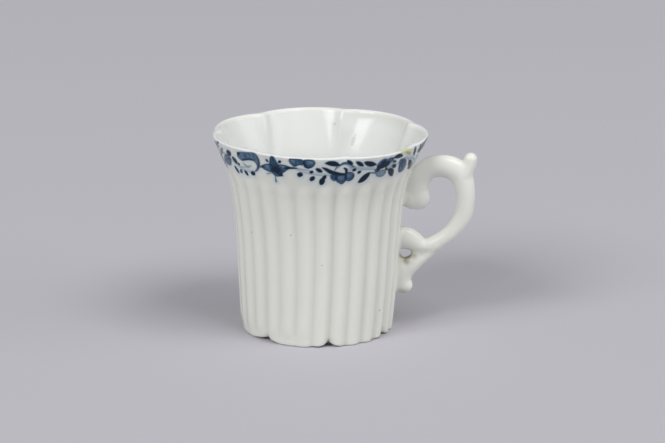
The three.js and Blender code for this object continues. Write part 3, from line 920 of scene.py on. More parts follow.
# %% [markdown]
# ## Shader helpers
# A material is a recipe, and each node is one step of it. Short helpers keep the recipes readable:
# one makes a node with its inputs filled in, one does a sum, one mixes two colours, one makes soft
# clouds, one reads a mask from the mesh, and one starts a group that several materials share.

# %% Make nodes and mix colours
def node(tree, kind, inputs=None, **settings):
    made = tree.nodes.new(kind)
    for name, value in settings.items():
        setattr(made, name, value)
    for name, value in (inputs or {}).items():
        socket = made.inputs[name]
        if isinstance(value, bpy.types.NodeSocket):
            tree.links.new(value, socket)
        else:
            socket.default_value = value
    return made


def maths(tree, operation, first, second=0.0, clamp=False):
    inputs = {0: first, 1: second}
    made = node(tree, "ShaderNodeMath", inputs, operation=operation, use_clamp=clamp)
    return made.outputs[0]


def mixed(tree, amount, under, over):
    made = node(tree, "ShaderNodeMix", {0: amount, 6: under, 7: over}, data_type="RGBA")
    return made.outputs[2]


def noise(tree, spot, scale, detail):
    """Soft clouds between 0 and 1. The scale is how many of them fit in a metre."""
    inputs = {"Vector": spot, "Scale": scale, "Detail": detail}
    return node(tree, "ShaderNodeTexNoise", inputs).outputs["Fac"]


def read_mask(tree, name):
    """The three numbers of a colour attribute of the mesh, each as a socket of its own."""
    attribute = node(tree, "ShaderNodeAttribute", attribute_name=name).outputs["Color"]
    return node(tree, "ShaderNodeSeparateColor", {0: attribute}).outputs


def group(name, inputs, outputs):
    """An empty shader group. Inputs and outputs are pairs of a name and a kind of socket."""
    tree = bpy.data.node_groups.new(name, "ShaderNodeTree")
    for direction, sockets in (("INPUT", inputs), ("OUTPUT", outputs)):
        for label, kind in sockets:
            tree.interface.new_socket(name=label, in_out=direction, socket_type=kind)
    return tree, tree.nodes.new("NodeGroupInput").outputs, tree.nodes.new("NodeGroupOutput").inputs


COLOUR, NUMBER = "NodeSocketColor", "NodeSocketFloat"
print("kinds of socket:", COLOUR, NUMBER)

# %% [markdown]
# ## Glaze effects that several finishes share
# All the glazed pieces show the same effects, so each effect is a group of nodes that their
# materials share. Glaze Tint And Shade greys the colour where glaze gathers, which is partly
# painted shade in valleys and crevices, and lets it drift softly in clouds over the surface.
# Scales of a texture are per metre: 70 gives clouds of about 14 mm.

# %% The tint of gathered glaze and painted shade
CLOUD_SCALE = 70.0
glaze_tint_and_shade, tint_in, tint_out = group(
    "Glaze Tint And Shade", [("Body", COLOUR), ("Pooled And Shaded", COLOUR), ("Pool And Shade", NUMBER), ("Drift", NUMBER)],
    [("Color", COLOUR)])
spot = node(glaze_tint_and_shade, "ShaderNodeTexCoord").outputs["Object"]
cloud = noise(glaze_tint_and_shade, spot, CLOUD_SCALE, 3.0)
shift = maths(glaze_tint_and_shade, "MULTIPLY", maths(glaze_tint_and_shade, "SUBTRACT", cloud, 0.5), tint_in["Drift"])
amount = maths(glaze_tint_and_shade, "ADD", tint_in["Pool And Shade"], shift, clamp=True)
tinted = mixed(glaze_tint_and_shade, amount, tint_in["Body"], tint_in["Pooled And Shaded"])
glaze_tint_and_shade.links.new(tinted, tint_out["Color"])
print(glaze_tint_and_shade.name, "is ready")

# %% [markdown]
# The kiln leaves a few tiny dark grains in the glaze. Kiln Specks scatters them: the surface falls
# into small cells, a draw in each cell decides whether it holds a grain and how big, and the grain
# is a little pit as well. Placed Spot puts one spot of a given tone where the photograph shows one:
# a grain on the outside, and painted shade inside, where the reflection in the glaze is broken.

# %% Specks scattered and spots placed
SPECK_CELLS = 210.0
SMALLEST_SPECK = 0.4
SPECK_EDGE = 0.5
kiln_specks, speck_in, speck_out = group(
    "Kiln Specks", [("Rarity", NUMBER), ("Size", NUMBER)], [("Mask", NUMBER), ("Height", NUMBER)])
spot = node(kiln_specks, "ShaderNodeTexCoord").outputs["Object"]
cell_inputs = {"Vector": spot, "Scale": SPECK_CELLS}
cells = node(kiln_specks, "ShaderNodeTexVoronoi", cell_inputs, feature="F1")
lot = node(kiln_specks, "ShaderNodeSeparateColor", {"Color": cells.outputs["Color"]}).outputs
chosen = maths(kiln_specks, "GREATER_THAN", lot[0], speck_in["Rarity"])
own_size = maths(kiln_specks, "ADD", lot[1], SMALLEST_SPECK)
size = maths(kiln_specks, "MULTIPLY", speck_in["Size"], own_size)
far = maths(kiln_specks, "DIVIDE", cells.outputs["Distance"], size)
grain = maths(kiln_specks, "SUBTRACT", 1.0, far, clamp=True)
rounded = maths(kiln_specks, "POWER", grain, SPECK_EDGE)
spot_mask = maths(kiln_specks, "MULTIPLY", chosen, rounded, clamp=True)
kiln_specks.links.new(spot_mask, speck_out["Mask"])
kiln_specks.links.new(maths(kiln_specks, "MULTIPLY", spot_mask, -1.0), speck_out["Height"])

SPOT_REACH, SPOT_FIRMNESS = 1.25, 1.3
placed_spot, place_in, place_out = group(
    "Placed Spot",
    [("Under", COLOUR), ("Place", "NodeSocketVector"), ("Radius", NUMBER), ("Tone", COLOUR)],
    [("Color", COLOUR)])
spot = node(placed_spot, "ShaderNodeTexCoord").outputs["Object"]
ends = {0: spot, 1: place_in["Place"]}
far = node(placed_spot, "ShaderNodeVectorMath", ends, operation="DISTANCE").outputs["Value"]
radii = maths(placed_spot, "DIVIDE", far, place_in["Radius"])
near = maths(placed_spot, "SUBTRACT", SPOT_REACH, radii)
spot_mask = maths(placed_spot, "MULTIPLY", near, SPOT_FIRMNESS, clamp=True)
spotted = mixed(placed_spot, spot_mask, place_in["Under"], place_in["Tone"])
placed_spot.links.new(spotted, place_out["Color"])
print(kiln_specks.name, "and", placed_spot.name, "are ready")

# %% [markdown]
# Glaze melts to a surface that is smooth but never quite flat. Glaze Ripple adds that faint
# unevenness: slow waves of about 9 mm, and much smaller ones of 1.5 mm.

# %% The ripple of melted glaze
SLOW_RIPPLE, QUICK_RIPPLE, QUICK_SHARE = 110.0, 650.0, 0.12
glaze_ripple, ripple_in, ripple_out = group(
    "Glaze Ripple", [("Strength", NUMBER)], [("Height", NUMBER)])
spot = node(glaze_ripple, "ShaderNodeTexCoord").outputs["Object"]
slow = noise(glaze_ripple, spot, SLOW_RIPPLE, 1.0)
quick = noise(glaze_ripple, spot, QUICK_RIPPLE, 2.0)
both = maths(glaze_ripple, "ADD", slow, maths(glaze_ripple, "MULTIPLY", quick, QUICK_SHARE))
rippled = maths(glaze_ripple, "MULTIPLY", both, ripple_in["Strength"])
glaze_ripple.links.new(rippled, ripple_out["Height"])
print("node groups:", [tree.name for tree in bpy.data.node_groups])

# %% [markdown]
# ## One glazed finish, several recipes
# Glazed porcelain is a white body under a clear, very smooth coat. Every glazed piece starts from
# the same function and differs in its masks: the painted band adds the cobalt, the seams hold more
# pooled glaze and painted shade. The numbers that are the same all over sit on the shader itself.

# %% The glazed finish
BODY_WHITE = (0.785, 0.795, 0.73, 1)
# The inside takes a darker copy of the body's white: painted shade
INSIDE_SHADED_WHITE = (0.745, 0.758, 0.735, 1)
# The handle takes a lighter copy of the body's white: painted light
HANDLE_LIT_WHITE = (0.795, 0.80, 0.745, 1)
# Pooled glaze, which in valleys and crevices also serves as painted shade
POOLED_AND_SHADED_WHITE = (0.62, 0.63, 0.57, 1)
SPECK_BROWN = (0.10, 0.085, 0.06, 1)
GLAZE_ROUGHNESS = 0.12
GLAZE_SHINE = 0.25
CLOUD_DRIFT = 0.25
SPECK_SIZE = 0.055
PIT_DEPTH = 0.15
BUMP_STRENGTH, BUMP_DISTANCE = 0.35, 0.0001


def glazed(name, body=BODY_WHITE, pool_shade_tone=POOLED_AND_SHADED_WHITE, pool_shade_gain=0.4):
    """A glazed material, its tree, and the colour before the specks, for recipes that add to it."""
    material = bpy.data.materials.new(name)
    material.use_nodes = True
    tree = material.node_tree
    shader = tree.nodes["Principled BSDF"]
    shader.inputs["Roughness"].default_value = GLAZE_ROUGHNESS
    shader.inputs["Specular IOR Level"].default_value = GLAZE_SHINE
    pooling_and_shade = read_mask(tree, "glaze")[0]
    tint = node(tree, "ShaderNodeGroup", node_tree=glaze_tint_and_shade)
    tint.inputs["Body"].default_value = body
    tint.inputs["Pooled And Shaded"].default_value = pool_shade_tone
    tint.inputs["Drift"].default_value = CLOUD_DRIFT
    tree.links.new(maths(tree, "MULTIPLY", pooling_and_shade, pool_shade_gain), tint.inputs["Pool And Shade"])
    return material, tree, shader, tint.outputs["Color"]


def finish_glaze(tree, shader, colour, rarity=0.93, ripple=0.5):
    """Adds the specks and the ripple, and plugs the colour into the shader."""
    specks = node(tree, "ShaderNodeGroup", node_tree=kiln_specks)
    specks.inputs["Rarity"].default_value = rarity
    specks.inputs["Size"].default_value = SPECK_SIZE
    ripples = node(tree, "ShaderNodeGroup", node_tree=glaze_ripple)
    ripples.inputs["Strength"].default_value = ripple
    spotted = mixed(tree, specks.outputs["Mask"], colour, SPECK_BROWN)
    tree.links.new(spotted, shader.inputs["Base Color"])
    pits = maths(tree, "MULTIPLY", specks.outputs["Height"], PIT_DEPTH)
    height = maths(tree, "ADD", ripples.outputs["Height"], pits)
    relief = {"Height": height, "Strength": BUMP_STRENGTH, "Distance": BUMP_DISTANCE}
    bump = node(tree, "ShaderNodeBump", relief)
    tree.links.new(bump.outputs["Normal"], shader.inputs["Normal"])


print("glaze roughness", GLAZE_ROUGHNESS, "and shine", GLAZE_SHINE)

# %% [markdown]
# The largest grains of this cup are part of its face, so they are put where they are: five on the
# outside. On the inside, under the back of the rim, a small spot and a long one are painted shade,
# where the reflection in the glaze is broken. A place is given as an angle round the cup and a
# height, and the wall's own radius gives the rest.

# %% The wall's finishes, with the grains that are easiest to see and the painted shade inside
GRAIN_GREY = (0.34, 0.33, 0.28, 1)
# Grey of the painted shade spots inside
REFLECTION_GAP_GREY = (0.56, 0.57, 0.54, 1)
INSIDE_ROUGHNESS = 0.17
WALL_RARITY = 0.985
# Angle in degrees, height and radius
OUTER_GRAINS = [(-170.4, 40.3, 0.25), (-140.6, 32.1, 0.28), (-106.2, 33.8, 0.22),
                (-84.8, 25.1, 0.2), (-35.0, 8.8, 0.25)]
# Spots of painted shade inside, where the reflection in the glaze is broken
INNER_REFLECTION_GAPS = [(82.5, 54.0, 0.4), (68.3, 51.2, 0.35), (68.6, 50.5, 0.55), (68.8, 49.9, 0.65),
                (69.0, 49.3, 0.65), (69.2, 48.6, 0.55)]


def wall_spot(angle_degrees, z, radius_at):
    """A place on the wall in metres."""
    angle = math.radians(angle_degrees)
    radius = float(radius_at(angle, z))
    out = AXIS_X + bend(z) + radius * math.cos(angle)
    return (out * MM, radius * math.sin(angle) * MM, z * MM)


def add_spot(tree, colour, place, radius, tone):
    """Lays one spot of a given size and tone over a colour: a grain outside, painted shade inside."""
    laid_spot = node(tree, "ShaderNodeGroup", node_tree=placed_spot)
    laid_spot.inputs["Place"].default_value = place
    laid_spot.inputs["Radius"].default_value = radius * MM
    laid_spot.inputs["Tone"].default_value = tone
    tree.links.new(colour, laid_spot.inputs["Under"])
    return laid_spot.outputs["Color"]


porcelain, tree, shader, colour = glazed("glazed_porcelain")
for angle, z, size in OUTER_GRAINS:
    colour = add_spot(tree, colour, wall_spot(angle, z, outer_radius), size, GRAIN_GREY)
finish_glaze(tree, shader, colour, rarity=WALL_RARITY)
inside_shaded_porcelain, tree, shader, colour = glazed("inside_shaded_porcelain", body=INSIDE_SHADED_WHITE)
for angle, z, size in INNER_REFLECTION_GAPS:
    colour = add_spot(tree, colour, wall_spot(angle, z, inner_radius), size, REFLECTION_GAP_GREY)
shader.inputs["Roughness"].default_value = INSIDE_ROUGHNESS
finish_glaze(tree, shader, colour, rarity=WALL_RARITY)
print("made", porcelain.name, "and", inside_shaded_porcelain.name)

# %% [markdown]
# ## Cobalt under the glaze
# The band has the same glaze with the paint beneath it. From below upwards the colours are: the
# amber of thin glaze near the edge, in worn patches; the faint blue halo; the wash, which starts
# pale and grows deep where it is full; the dark line. The white of the lip, the ochre of the one
# chip and the olive shadow painted under it come over the paint. A fine noise breaks the wash up,
# because the pigment settles unevenly.

# %% The painted band
HALO_BLUE = (0.33, 0.53, 0.70, 1)
THIN_BLUE = (0.50, 0.63, 0.69, 1)
WASH_BLUE = (0.052, 0.150, 0.280, 1)
DEEP_BLUE = (0.016, 0.055, 0.125, 1)
INK_BLUE = (0.001, 0.013, 0.036, 1)
EDGE_AMBER = (0.62, 0.52, 0.36, 1)
RIM_WHITE = (0.79, 0.79, 0.81, 1)
CHIP_OCHRE = (0.64, 0.64, 0.38, 1)
# Olive of the shadow painted under the chip
CHIP_SHADOW_OLIVE = (0.30, 0.32, 0.19, 1)
PIGMENT_SCALE = 1000.0
PIGMENT_LOW, PIGMENT_HIGH = 0.36, 0.64
PATCH_SCALE, PATCH_LEVEL, PATCH_CONTRAST = 95.0, 0.42, 4.0
AMBER_SHARE, HALO_SHARE = 0.42, 0.38
THIN_GAIN, FULL_CURVE = 1.9, 1.5

painted, tree, shader, colour = glazed("painted_porcelain")
paint = read_mask(tree, "cobalt")
edges = read_mask(tree, "glaze")
chipped = read_mask(tree, "chip")
spot = node(tree, "ShaderNodeTexCoord").outputs["Object"]
settled = noise(tree, spot, PIGMENT_SCALE, 3.0)
stretch = {"Value": settled, "From Min": PIGMENT_LOW, "From Max": PIGMENT_HIGH}
pigment = node(tree, "ShaderNodeMapRange", stretch).outputs[0]
full_wash = mixed(tree, pigment, DEEP_BLUE, WASH_BLUE)
patches = maths(tree, "SUBTRACT", noise(tree, spot, PATCH_SCALE, 1.0), PATCH_LEVEL)
patches = maths(tree, "MULTIPLY", patches, PATCH_CONTRAST, clamp=True)
amber = maths(tree, "MULTIPLY", edges[1], patches)
colour = mixed(tree, maths(tree, "MULTIPLY", amber, AMBER_SHARE), colour, EDGE_AMBER)
colour = mixed(tree, maths(tree, "MULTIPLY", paint[2], HALO_SHARE), colour, HALO_BLUE)
colour = mixed(tree, maths(tree, "MULTIPLY", paint[1], THIN_GAIN, clamp=True), colour, THIN_BLUE)
colour = mixed(tree, maths(tree, "POWER", paint[1], FULL_CURVE), colour, full_wash)
colour = mixed(tree, paint[0], colour, INK_BLUE)
colour = mixed(tree, edges[2], colour, RIM_WHITE)
colour = mixed(tree, chipped[0], colour, CHIP_OCHRE)
colour = mixed(tree, chipped[1], colour, CHIP_SHADOW_OLIVE)
finish_glaze(tree, shader, colour)
print("made", painted.name)

# %% [markdown]
# ## The bare foot
# A cup stands on its foot in the kiln, so the foot is wiped free of glaze or it would stick. The
# bare ring is slightly rough and warmer, with a little grit.

# %% The bare foot ring
FOOT_POOL_AND_SHADE = (0.42, 0.36, 0.27, 1)
GRIT_BROWN = (0.50, 0.44, 0.36, 1)
GRIT_SCALE, GRIT_SHARE = 1400.0, 0.8
BARE_ROUGHNESS = 0.6
bare, tree, shader, colour = glazed("bare_foot", pool_shade_tone=FOOT_POOL_AND_SHADE)
shader.inputs["Roughness"].default_value = BARE_ROUGHNESS
spot = node(tree, "ShaderNodeTexCoord").outputs["Object"]
grit = noise(tree, spot, GRIT_SCALE, 3.0)
colour = mixed(tree, maths(tree, "MULTIPLY", grit, GRIT_SHARE), colour, GRIT_BROWN)
finish_glaze(tree, shader, colour, rarity=0.7, ripple=2.0)
print("made", bare.name)

# %% [markdown]
# ## The cup as a mesh
# The points, faces and masks now become one object. Each zone of the skin takes its own material,
# and smooth shading lets the glaze flow over the faces.

# %% Build the cup
def mesh_object(name, points, faces, materials, face_numbers=None):
    """A smooth mesh in metres from points in millimetres. face_numbers picks each face's material."""
    mesh = bpy.data.meshes.new(name)
    mesh.from_pydata((np.asarray(points) * MM).tolist(), [], faces)
    for material in materials:
        mesh.materials.append(material)
    if face_numbers is not None:
        mesh.polygons.foreach_set("material_index", face_numbers)
    mesh.polygons.foreach_set("use_smooth", [True] * len(mesh.polygons))
    made = bpy.data.objects.new(name, mesh)
    bpy.context.scene.collection.objects.link(made)
    return made


def add_masks(piece, name, values):
    attribute = piece.data.attributes.new(name, "FLOAT_COLOR", "POINT")
    attribute.data.foreach_set("color", np.asarray(values, np.float32).ravel())


cup_materials = [porcelain, painted, bare, inside_shaded_porcelain]
zone_finish = {"underside": porcelain, "foot": bare, "wall": porcelain, "band": painted,
               "inside": inside_shaded_porcelain}
zone_number = {zone: cup_materials.index(finish) for zone, finish in zone_finish.items()}
face_material = [zone_number[zone] for zone in face_zones]
cup = mesh_object("glazed_cup", skin_points, skin_faces, cup_materials, face_material)
add_masks(cup, "cobalt", cobalt)
add_masks(cup, "glaze", glaze)
add_masks(cup, "chip", chip)
cup.data.validate()
print("cup:", len(cup.data.vertices), "points,", len(cup.data.polygons), "faces")

# %% [markdown]
# ## The handle as a field
# The handle was rolled from strips of clay that were pressed together and stuck on with slip, so
# its joints are soft hollows, not sharp creases. Joining meshes would leave creases. Instead every
# strip is described by how far a point is from its surface, and a smooth minimum of the distances
# makes the hollows by itself. The wall of the cup takes part too, which gives the fillets of slip.

# %% The strips' centre lines
HANDLE_TOP = HEIGHT - 6.3
HANDLE_BOTTOM = 10.0
HANDLE_REACH = 16.25
WALL_HUG = 2.2
# Each station gives across and up as shares of the reach and the height, then half the strip's
# width and half its depth in millimetres
BOW = [(0.065, 0.632, 3.2, 2.2), (0.13, 0.685, 3.75, 2.35), (0.09, 0.76, 3.3, 2.4),
       (0.11, 0.85, 3.2, 2.5), (0.3, 0.918, 3.2, 2.5), (0.6, 0.922, 3.3, 2.5),
       (0.81, 0.87, 3.25, 2.45), (0.945, 0.77, 2.9, 2.4), (1.0, 0.66, 2.65, 2.35),
       (0.96, 0.552, 2.6, 2.3), (0.785, 0.448, 2.4, 2.3), (0.53, 0.374, 2.3, 2.3),
       (0.323, 0.355, 2.1, 2.3), (0.13, 0.388, 2.9, 2.4), (0.0, 0.405, 3.3, 2.4),
       (-0.215, 0.407, 3.3, 2.4)]
THUMB_REST = [(0.85, 0.84, 1.9, 1.9), (0.93, 0.9, 1.95, 2.1), (0.975, 0.96, 1.95, 2.1),
              (0.99, 1.025, 1.9, 2.1)]
LOWER_SCROLL = [(0.6, 0.375, 1.4, 1.7), (0.4, 0.288, 1.5, 1.9), (0.22, 0.23, 1.9, 2.05),
                (0.06, 0.165, 2.15, 2.1), (0.015, 0.105, 2.25, 2.1), (0.045, 0.055, 2.4, 2.2),
                (0.075, 0.005, 2.35, 2.2)]
# Pads of slip fill in behind the scrolls, and a web fills the fork between the two scrolls
LOWER_PAD = [(-0.13, 0.37, 0.55, 1.5), (-0.13, 0.3, 0.55, 1.6), (-0.08, 0.24, 1.3, 1.8),
             (-0.06, 0.16, 1.7, 1.9), (-0.06, 0.03, 1.5, 1.9)]
WEB = [(0.35, 0.325, 1.1, 1.3), (0.2, 0.29, 1.4, 1.5), (0.03, 0.235, 1.2, 1.6)]
UPPER_PAD = [(0.0, 0.74, 1.6, 1.9), (0.0, 0.67, 2.1, 2.0), (0.0, 0.624, 2.1, 2.0)]


def centre_line(stations):
    """Dense samples of a strip: place out from the axis, height, half width, half depth."""
    shares = np.array(stations, float)
    z = HANDLE_BOTTOM + shares[:, 1] * (HANDLE_TOP - HANDLE_BOTTOM)
    out = crest_radius(np.minimum(z, NECK_Z)) + WALL_HUG + shares[:, 0] * HANDLE_REACH
    path = spline(np.column_stack([out, z, shares[:, 2:]]), step=0.1)
    length = np.concatenate([[0], np.cumsum(np.hypot(*np.diff(path[:, :2], axis=0).T))])
    keep = (length > path[0, 2]) & (length < length[-1] - path[-1, 2])
    return path[keep]


# Each strip: its centre line, how softly it joins the ones before it, and the piece it belongs to
PIECES = ["scroll_bow", "thumb_nub", "tail_scroll", "upper_seam", "middle_seam", "lower_seam"]
THUMB_JOIN = 0.9
SCROLL_JOIN = 1.2
strips = [(centre_line(BOW), 0.0, "scroll_bow"),
          (centre_line(THUMB_REST), THUMB_JOIN, "thumb_nub"),
          (centre_line(LOWER_SCROLL), SCROLL_JOIN, "tail_scroll"),
          (centre_line(LOWER_PAD), SCROLL_JOIN, "lower_seam"),
          (centre_line(WEB), SCROLL_JOIN, "tail_scroll"),
          (centre_line(UPPER_PAD), SCROLL_JOIN, "upper_seam")]
print([len(path) for path, softness, piece in strips], "samples")

# %% [markdown]
# A strip's distance is found in two steps. In the plane of the handle the nearest sample of the
# centre line is picked, less its width, and then the depth across the handle turns the round
# section into an oval one. The points are taken in portions, so that the tables stay small.

# %% Distance to one strip
PORTION = 20000


def strip_distance(path, out, z):
    """How far points of the handle's plane are from a centre line, and its width and depth there."""
    shape = out.shape
    flat = np.column_stack([out.ravel(), z.ravel()])
    tangent = np.gradient(path, axis=0)
    reach, width, depth = (np.empty(len(flat)) for _ in range(3))
    for start in range(0, len(flat), PORTION):
        part = slice(start, start + PORTION)
        gap = flat[part, None, :] - path[None, :, :2]
        pick = np.argmin(np.hypot(gap[..., 0], gap[..., 1]) - path[None, :, 2], axis=1)
        own = gap[np.arange(len(pick)), pick]
        step = tangent[pick]
        size = (step[:, :2] ** 2).sum(1)
        slide = np.clip((own * step[:, :2]).sum(1) / size, -0.5, 0.5)
        slide[(pick == 0) | (pick == len(path) - 1)] = 0
        reach[part] = np.hypot(*(own - step[:, :2] * slide[:, None]).T)
        width[part] = path[pick, 2] + step[:, 2] * slide
        depth[part] = path[pick, 3] + step[:, 3] * slide
    reach, width, depth = (value.reshape(shape) for value in (reach, width, depth))
    return reach, width, depth


def oval(reach, width, depth, y):
    """Distance to an oval section, good close to its surface."""
    near = np.hypot(reach / width, y / depth)
    slope = np.hypot(reach / width ** 2, y / depth ** 2)
    return near * (near - 1) / np.maximum(slope, 1e-6)


bow_middle = strip_distance(strips[0][0], np.array([43.6]), np.array([38.0]))
print("the bow's middle is", [round(float(value[0]), 2) for value in bow_middle], "mm off, wide and deep")

# %% [markdown]
# The wall is a distance too: how far a point is outside it, less for the wall's lean. Soft union
# joins two distances with a hollow of a given softness. Last, the small oval opening beside the
# lower scroll is taken out again, because the slip would close it.

# %% Distance to the wall, and all joined
SLIP_SOFTNESS = 1.5
EYE_OUT, EYE_UP = 25.7, 22.25
EYE_HALF_WIDTH, EYE_HALF_HEIGHT = 1.5, 1.15
EYE_SOFTNESS = 0.45


def wall_distance(out, y, z):
    angle = np.arctan2(y, out)
    lean = (crest_radius(z + 0.5) - crest_radius(z - 0.5))
    wall = outer_radius(angle - drift(angle, z), z)
    return (np.hypot(out, y) - wall) / np.sqrt(1 + lean ** 2)


def soft_union(a, b, softness):
    share = np.clip(0.5 + 0.5 * (b - a) / softness, 0, 1)
    return b + (a - b) * share - softness * share * (1 - share)


def eye_distance(out, z):
    return oval(out - EYE_OUT, EYE_HALF_WIDTH, EYE_HALF_HEIGHT, z - EYE_UP)


def handle_field(out, y, z, sections=None):
    """The soft union of strips and wall, with each strip's own distance and the wall's."""
    own = []
    for number, (path, softness, piece) in enumerate(strips):
        reach, width, depth = sections[number] if sections else strip_distance(path, out, z)
        own.append(oval(reach, width, depth, y))
        joined = soft_union(joined, own[-1], softness) if number else own[0]
    wall = wall_distance(out, y, z)
    whole = soft_union(joined, wall, SLIP_SOFTNESS)
    whole = -soft_union(-whole, eye_distance(out, z), EYE_SOFTNESS)
    return whole, own, joined, wall


bow_middle = [np.array([value]) for value in (43.6, 0.0, 38.0)]
print("at the middle of the bow the field is", handle_field(*bow_middle)[0].round(2))

# %% [markdown]
# ## A skin over the field
# The field is first worked out on a grid of small cells round the handle. A strip's distance in the
# handle's plane doesn't depend on the depth, so it is found once per column of cells and repeated.

# %% The field on a grid
CELL = 0.24
GRID_CORNER = np.array([21.0, -6.2, 6.5])
GRID_SPAN = (26.5, 12.4, 50.0)
counts = [int(np.ceil(span / CELL)) for span in GRID_SPAN]
grid_out, grid_y, grid_z = (GRID_CORNER[axis] + CELL * np.arange(counts[axis]) for axis in range(3))
plane_out, plane_z = np.meshgrid(grid_out, grid_z, indexing="ij")
sections = []
for path, softness, piece in strips:
    parts = strip_distance(path, plane_out, plane_z)
    sections.append([np.repeat(part[:, None, :], counts[1], axis=1) for part in parts])
out, y, z = np.meshgrid(grid_out, grid_y, grid_z, indexing="ij")
field = handle_field(out, y, z, sections)[0]
print("grid of", counts, "cells, of which", int((field < 0).sum()), "lie in the clay")

# %% [markdown]
# Where the field passes through zero there is the surface. The surface net puts one point into
# every cell that the surface crosses, in the middle of the crossings, and one face across every
# grid edge that it crosses. The faces turn outwards, from clay to air.

# %% Net the surface
def surface_net(values):
    """Points in cell units and four-sided faces where the values change sign."""
    inside = values < 0
    cells = np.array(values.shape) - 1

    def corner(array, offset):
        return array[tuple(slice(o, o + n) for o, n in zip(offset, cells))]

    total = np.zeros((*cells, 3))
    number = np.zeros(cells)
    for axis in range(3):
        for u in (0, 1):
            for v in (0, 1):
                start = np.insert([u, v], axis, 0)
                end = np.insert([u, v], axis, 1)
                a, b = corner(values, start), corner(values, end)
                crosses = (a < 0) != (b < 0)
                share = np.where(crosses, a / np.where(crosses, a - b, 1), 0)
                for d in range(3):
                    total[..., d] += np.where(crosses, start[d] + (share if d == axis else 0), 0)
                number += crosses
    mixed_cells = number > 0
    index = np.full(cells, -1)
    index[mixed_cells] = np.arange(mixed_cells.sum())
    points = total[mixed_cells] / number[mixed_cells][:, None] + np.argwhere(mixed_cells)
    faces = []
    for axis in range(3):
        b_axis, c_axis = (axis + 1) % 3, (axis + 2) % 3
        first = np.take(inside, range(values.shape[axis] - 1), axis)
        second = np.take(inside, range(1, values.shape[axis]), axis)
        places = np.argwhere(first != second)
        inner = (places[:, b_axis] > 0) & (places[:, c_axis] > 0)
        inner &= (places[:, b_axis] < cells[b_axis]) & (places[:, c_axis] < cells[c_axis])
        places = places[inner]
        quad = []
        for db, dc in ((1, 1), (0, 1), (0, 0), (1, 0)):
            cell = places.copy()
            cell[:, b_axis] -= db
            cell[:, c_axis] -= dc
            quad.append(index[tuple(cell.T)])
        quad = np.stack(quad, 1)
        outward = first[tuple(places.T)]
        quad[~outward] = quad[~outward][:, ::-1]
        faces.append(quad)
    return points, np.vstack(faces)


net_points, net_faces = surface_net(field)
net_points = GRID_CORNER + CELL * net_points
print("net of", len(net_points), "points and", len(net_faces), "faces")

# %% [markdown]
# The net's points lie near the surface, not on it, which would show as a faint pattern in the
# glaze. So each is slid along the slope of the field until it lies on the surface. The same slope,
# made one long, is the direction in which the surface faces there.

# %% Slide the points onto the surface
SLOPE_STEP = 0.06
LEAST_SLOPE = 0.2


def slope_of(points):
    """How fast the field grows in each direction, from a small step either way."""
    columns = []
    for axis in range(3):
        shifted = [points + direction * SLOPE_STEP * np.eye(3)[axis] for direction in (1, -1)]
        ahead, behind = (handle_field(*side.T)[0] for side in shifted)
        columns.append((ahead - behind) / (2 * SLOPE_STEP))
    return np.stack(columns, 1)


for _ in range(2):
    slope = slope_of(net_points)
    value = handle_field(*net_points.T)[0]
    steepness = np.maximum((slope ** 2).sum(1), LEAST_SLOPE)
    net_points = net_points - slope * (value / steepness)[:, None]
normals = slope_of(net_points)
normals /= np.linalg.norm(normals, axis=1)[:, None]
left_over = np.abs(handle_field(*net_points.T)[0])
print("the points are off the surface by", round(float(np.median(left_over)), 4), "mm in the middle")

# %% [markdown]
# ## Parting the handle into its pieces
# The net also covers the wall, which the cup's own skin already shows, so only what stands proud
# of the wall is kept. The rest is shared out: faces close to the wall are the seams of slip, and
# the others go to the strip that they are nearest to. All keep the normals of the whole, so that
# the glaze runs over the joints without a line.

# %% Share out the faces
PROUD = 0.02
SEAM_REACH = 0.95
MIDDLE_SEAM_TOP, LOWER_SEAM_TOP = 34.0, 22.4
_, own, joined, wall = handle_field(*net_points.T)
distances = np.stack(own, 1)
strip_owner = np.array([PIECES.index(piece) for path, softness, piece in strips])
nearest = strip_owner[np.argmin(distances, 1)]
upper_seam = PIECES.index("upper_seam")
seam = upper_seam + np.digitize(-net_points[:, 2], [-MIDDLE_SEAM_TOP, -LOWER_SEAM_TOP])
owner = np.where(wall < SEAM_REACH, seam, nearest)
kept = (wall[net_faces] > PROUD).all(1)
face_owner = np.sort(owner[net_faces], axis=1)[:, 2]
print("faces kept:", int(kept.sum()))

# %% [markdown]
# The edge of what is kept is pressed a hair into the wall, so that no gap shows. Dark glaze gathers
# in the hollows, which is partly painted shade: where the handle is as near to the wall as to
# itself, and where the bow is as near to another strip.

# %% Press in the edge and find the hollows
TUCK_IN = 0.05
HOLLOW_DEPTH, HOLLOW_WIDTH = 0.7, 0.9
edge_count = {}
used = net_faces[kept]
for a, b in ((0, 1), (1, 2), (2, 3), (3, 0)):
    for pair in np.sort(used[:, [a, b]], 1).tolist():
        edge_count[tuple(pair)] = edge_count.get(tuple(pair), 0) + 1
rim_points = sorted({point for pair, count in edge_count.items() if count == 1 for point in pair})
net_points[rim_points] -= TUCK_IN * normals[rim_points]
# Painted shade, partly pooled glaze: darker in the crevices at the wall and between the strips
crevice_shade = np.clip(1 - np.abs(joined - wall) / SLIP_SOFTNESS, 0, 1)
# The thumb rest, the lower scroll and the web between the scrolls
for other in (1, 2, 4):
    hollow = np.clip(1 - np.abs(own[0] - own[other]) / HOLLOW_WIDTH, 0, 1)
    crevice_shade = np.maximum(crevice_shade, HOLLOW_DEPTH * hollow)
print("points on the edge:", len(rim_points), "and in hollows:", int((crevice_shade > 0.5).sum()))

# %% [markdown]
# ## The handle's finishes
# The handle has the cup's glaze on a lighter copy of the body's white, which is painted light. The
# seams hold more of it, with painted shade in the crevices, and it is olive where it gathered
# thickest, below the small opening and under the lower knob, an olive that is partly painted shade.

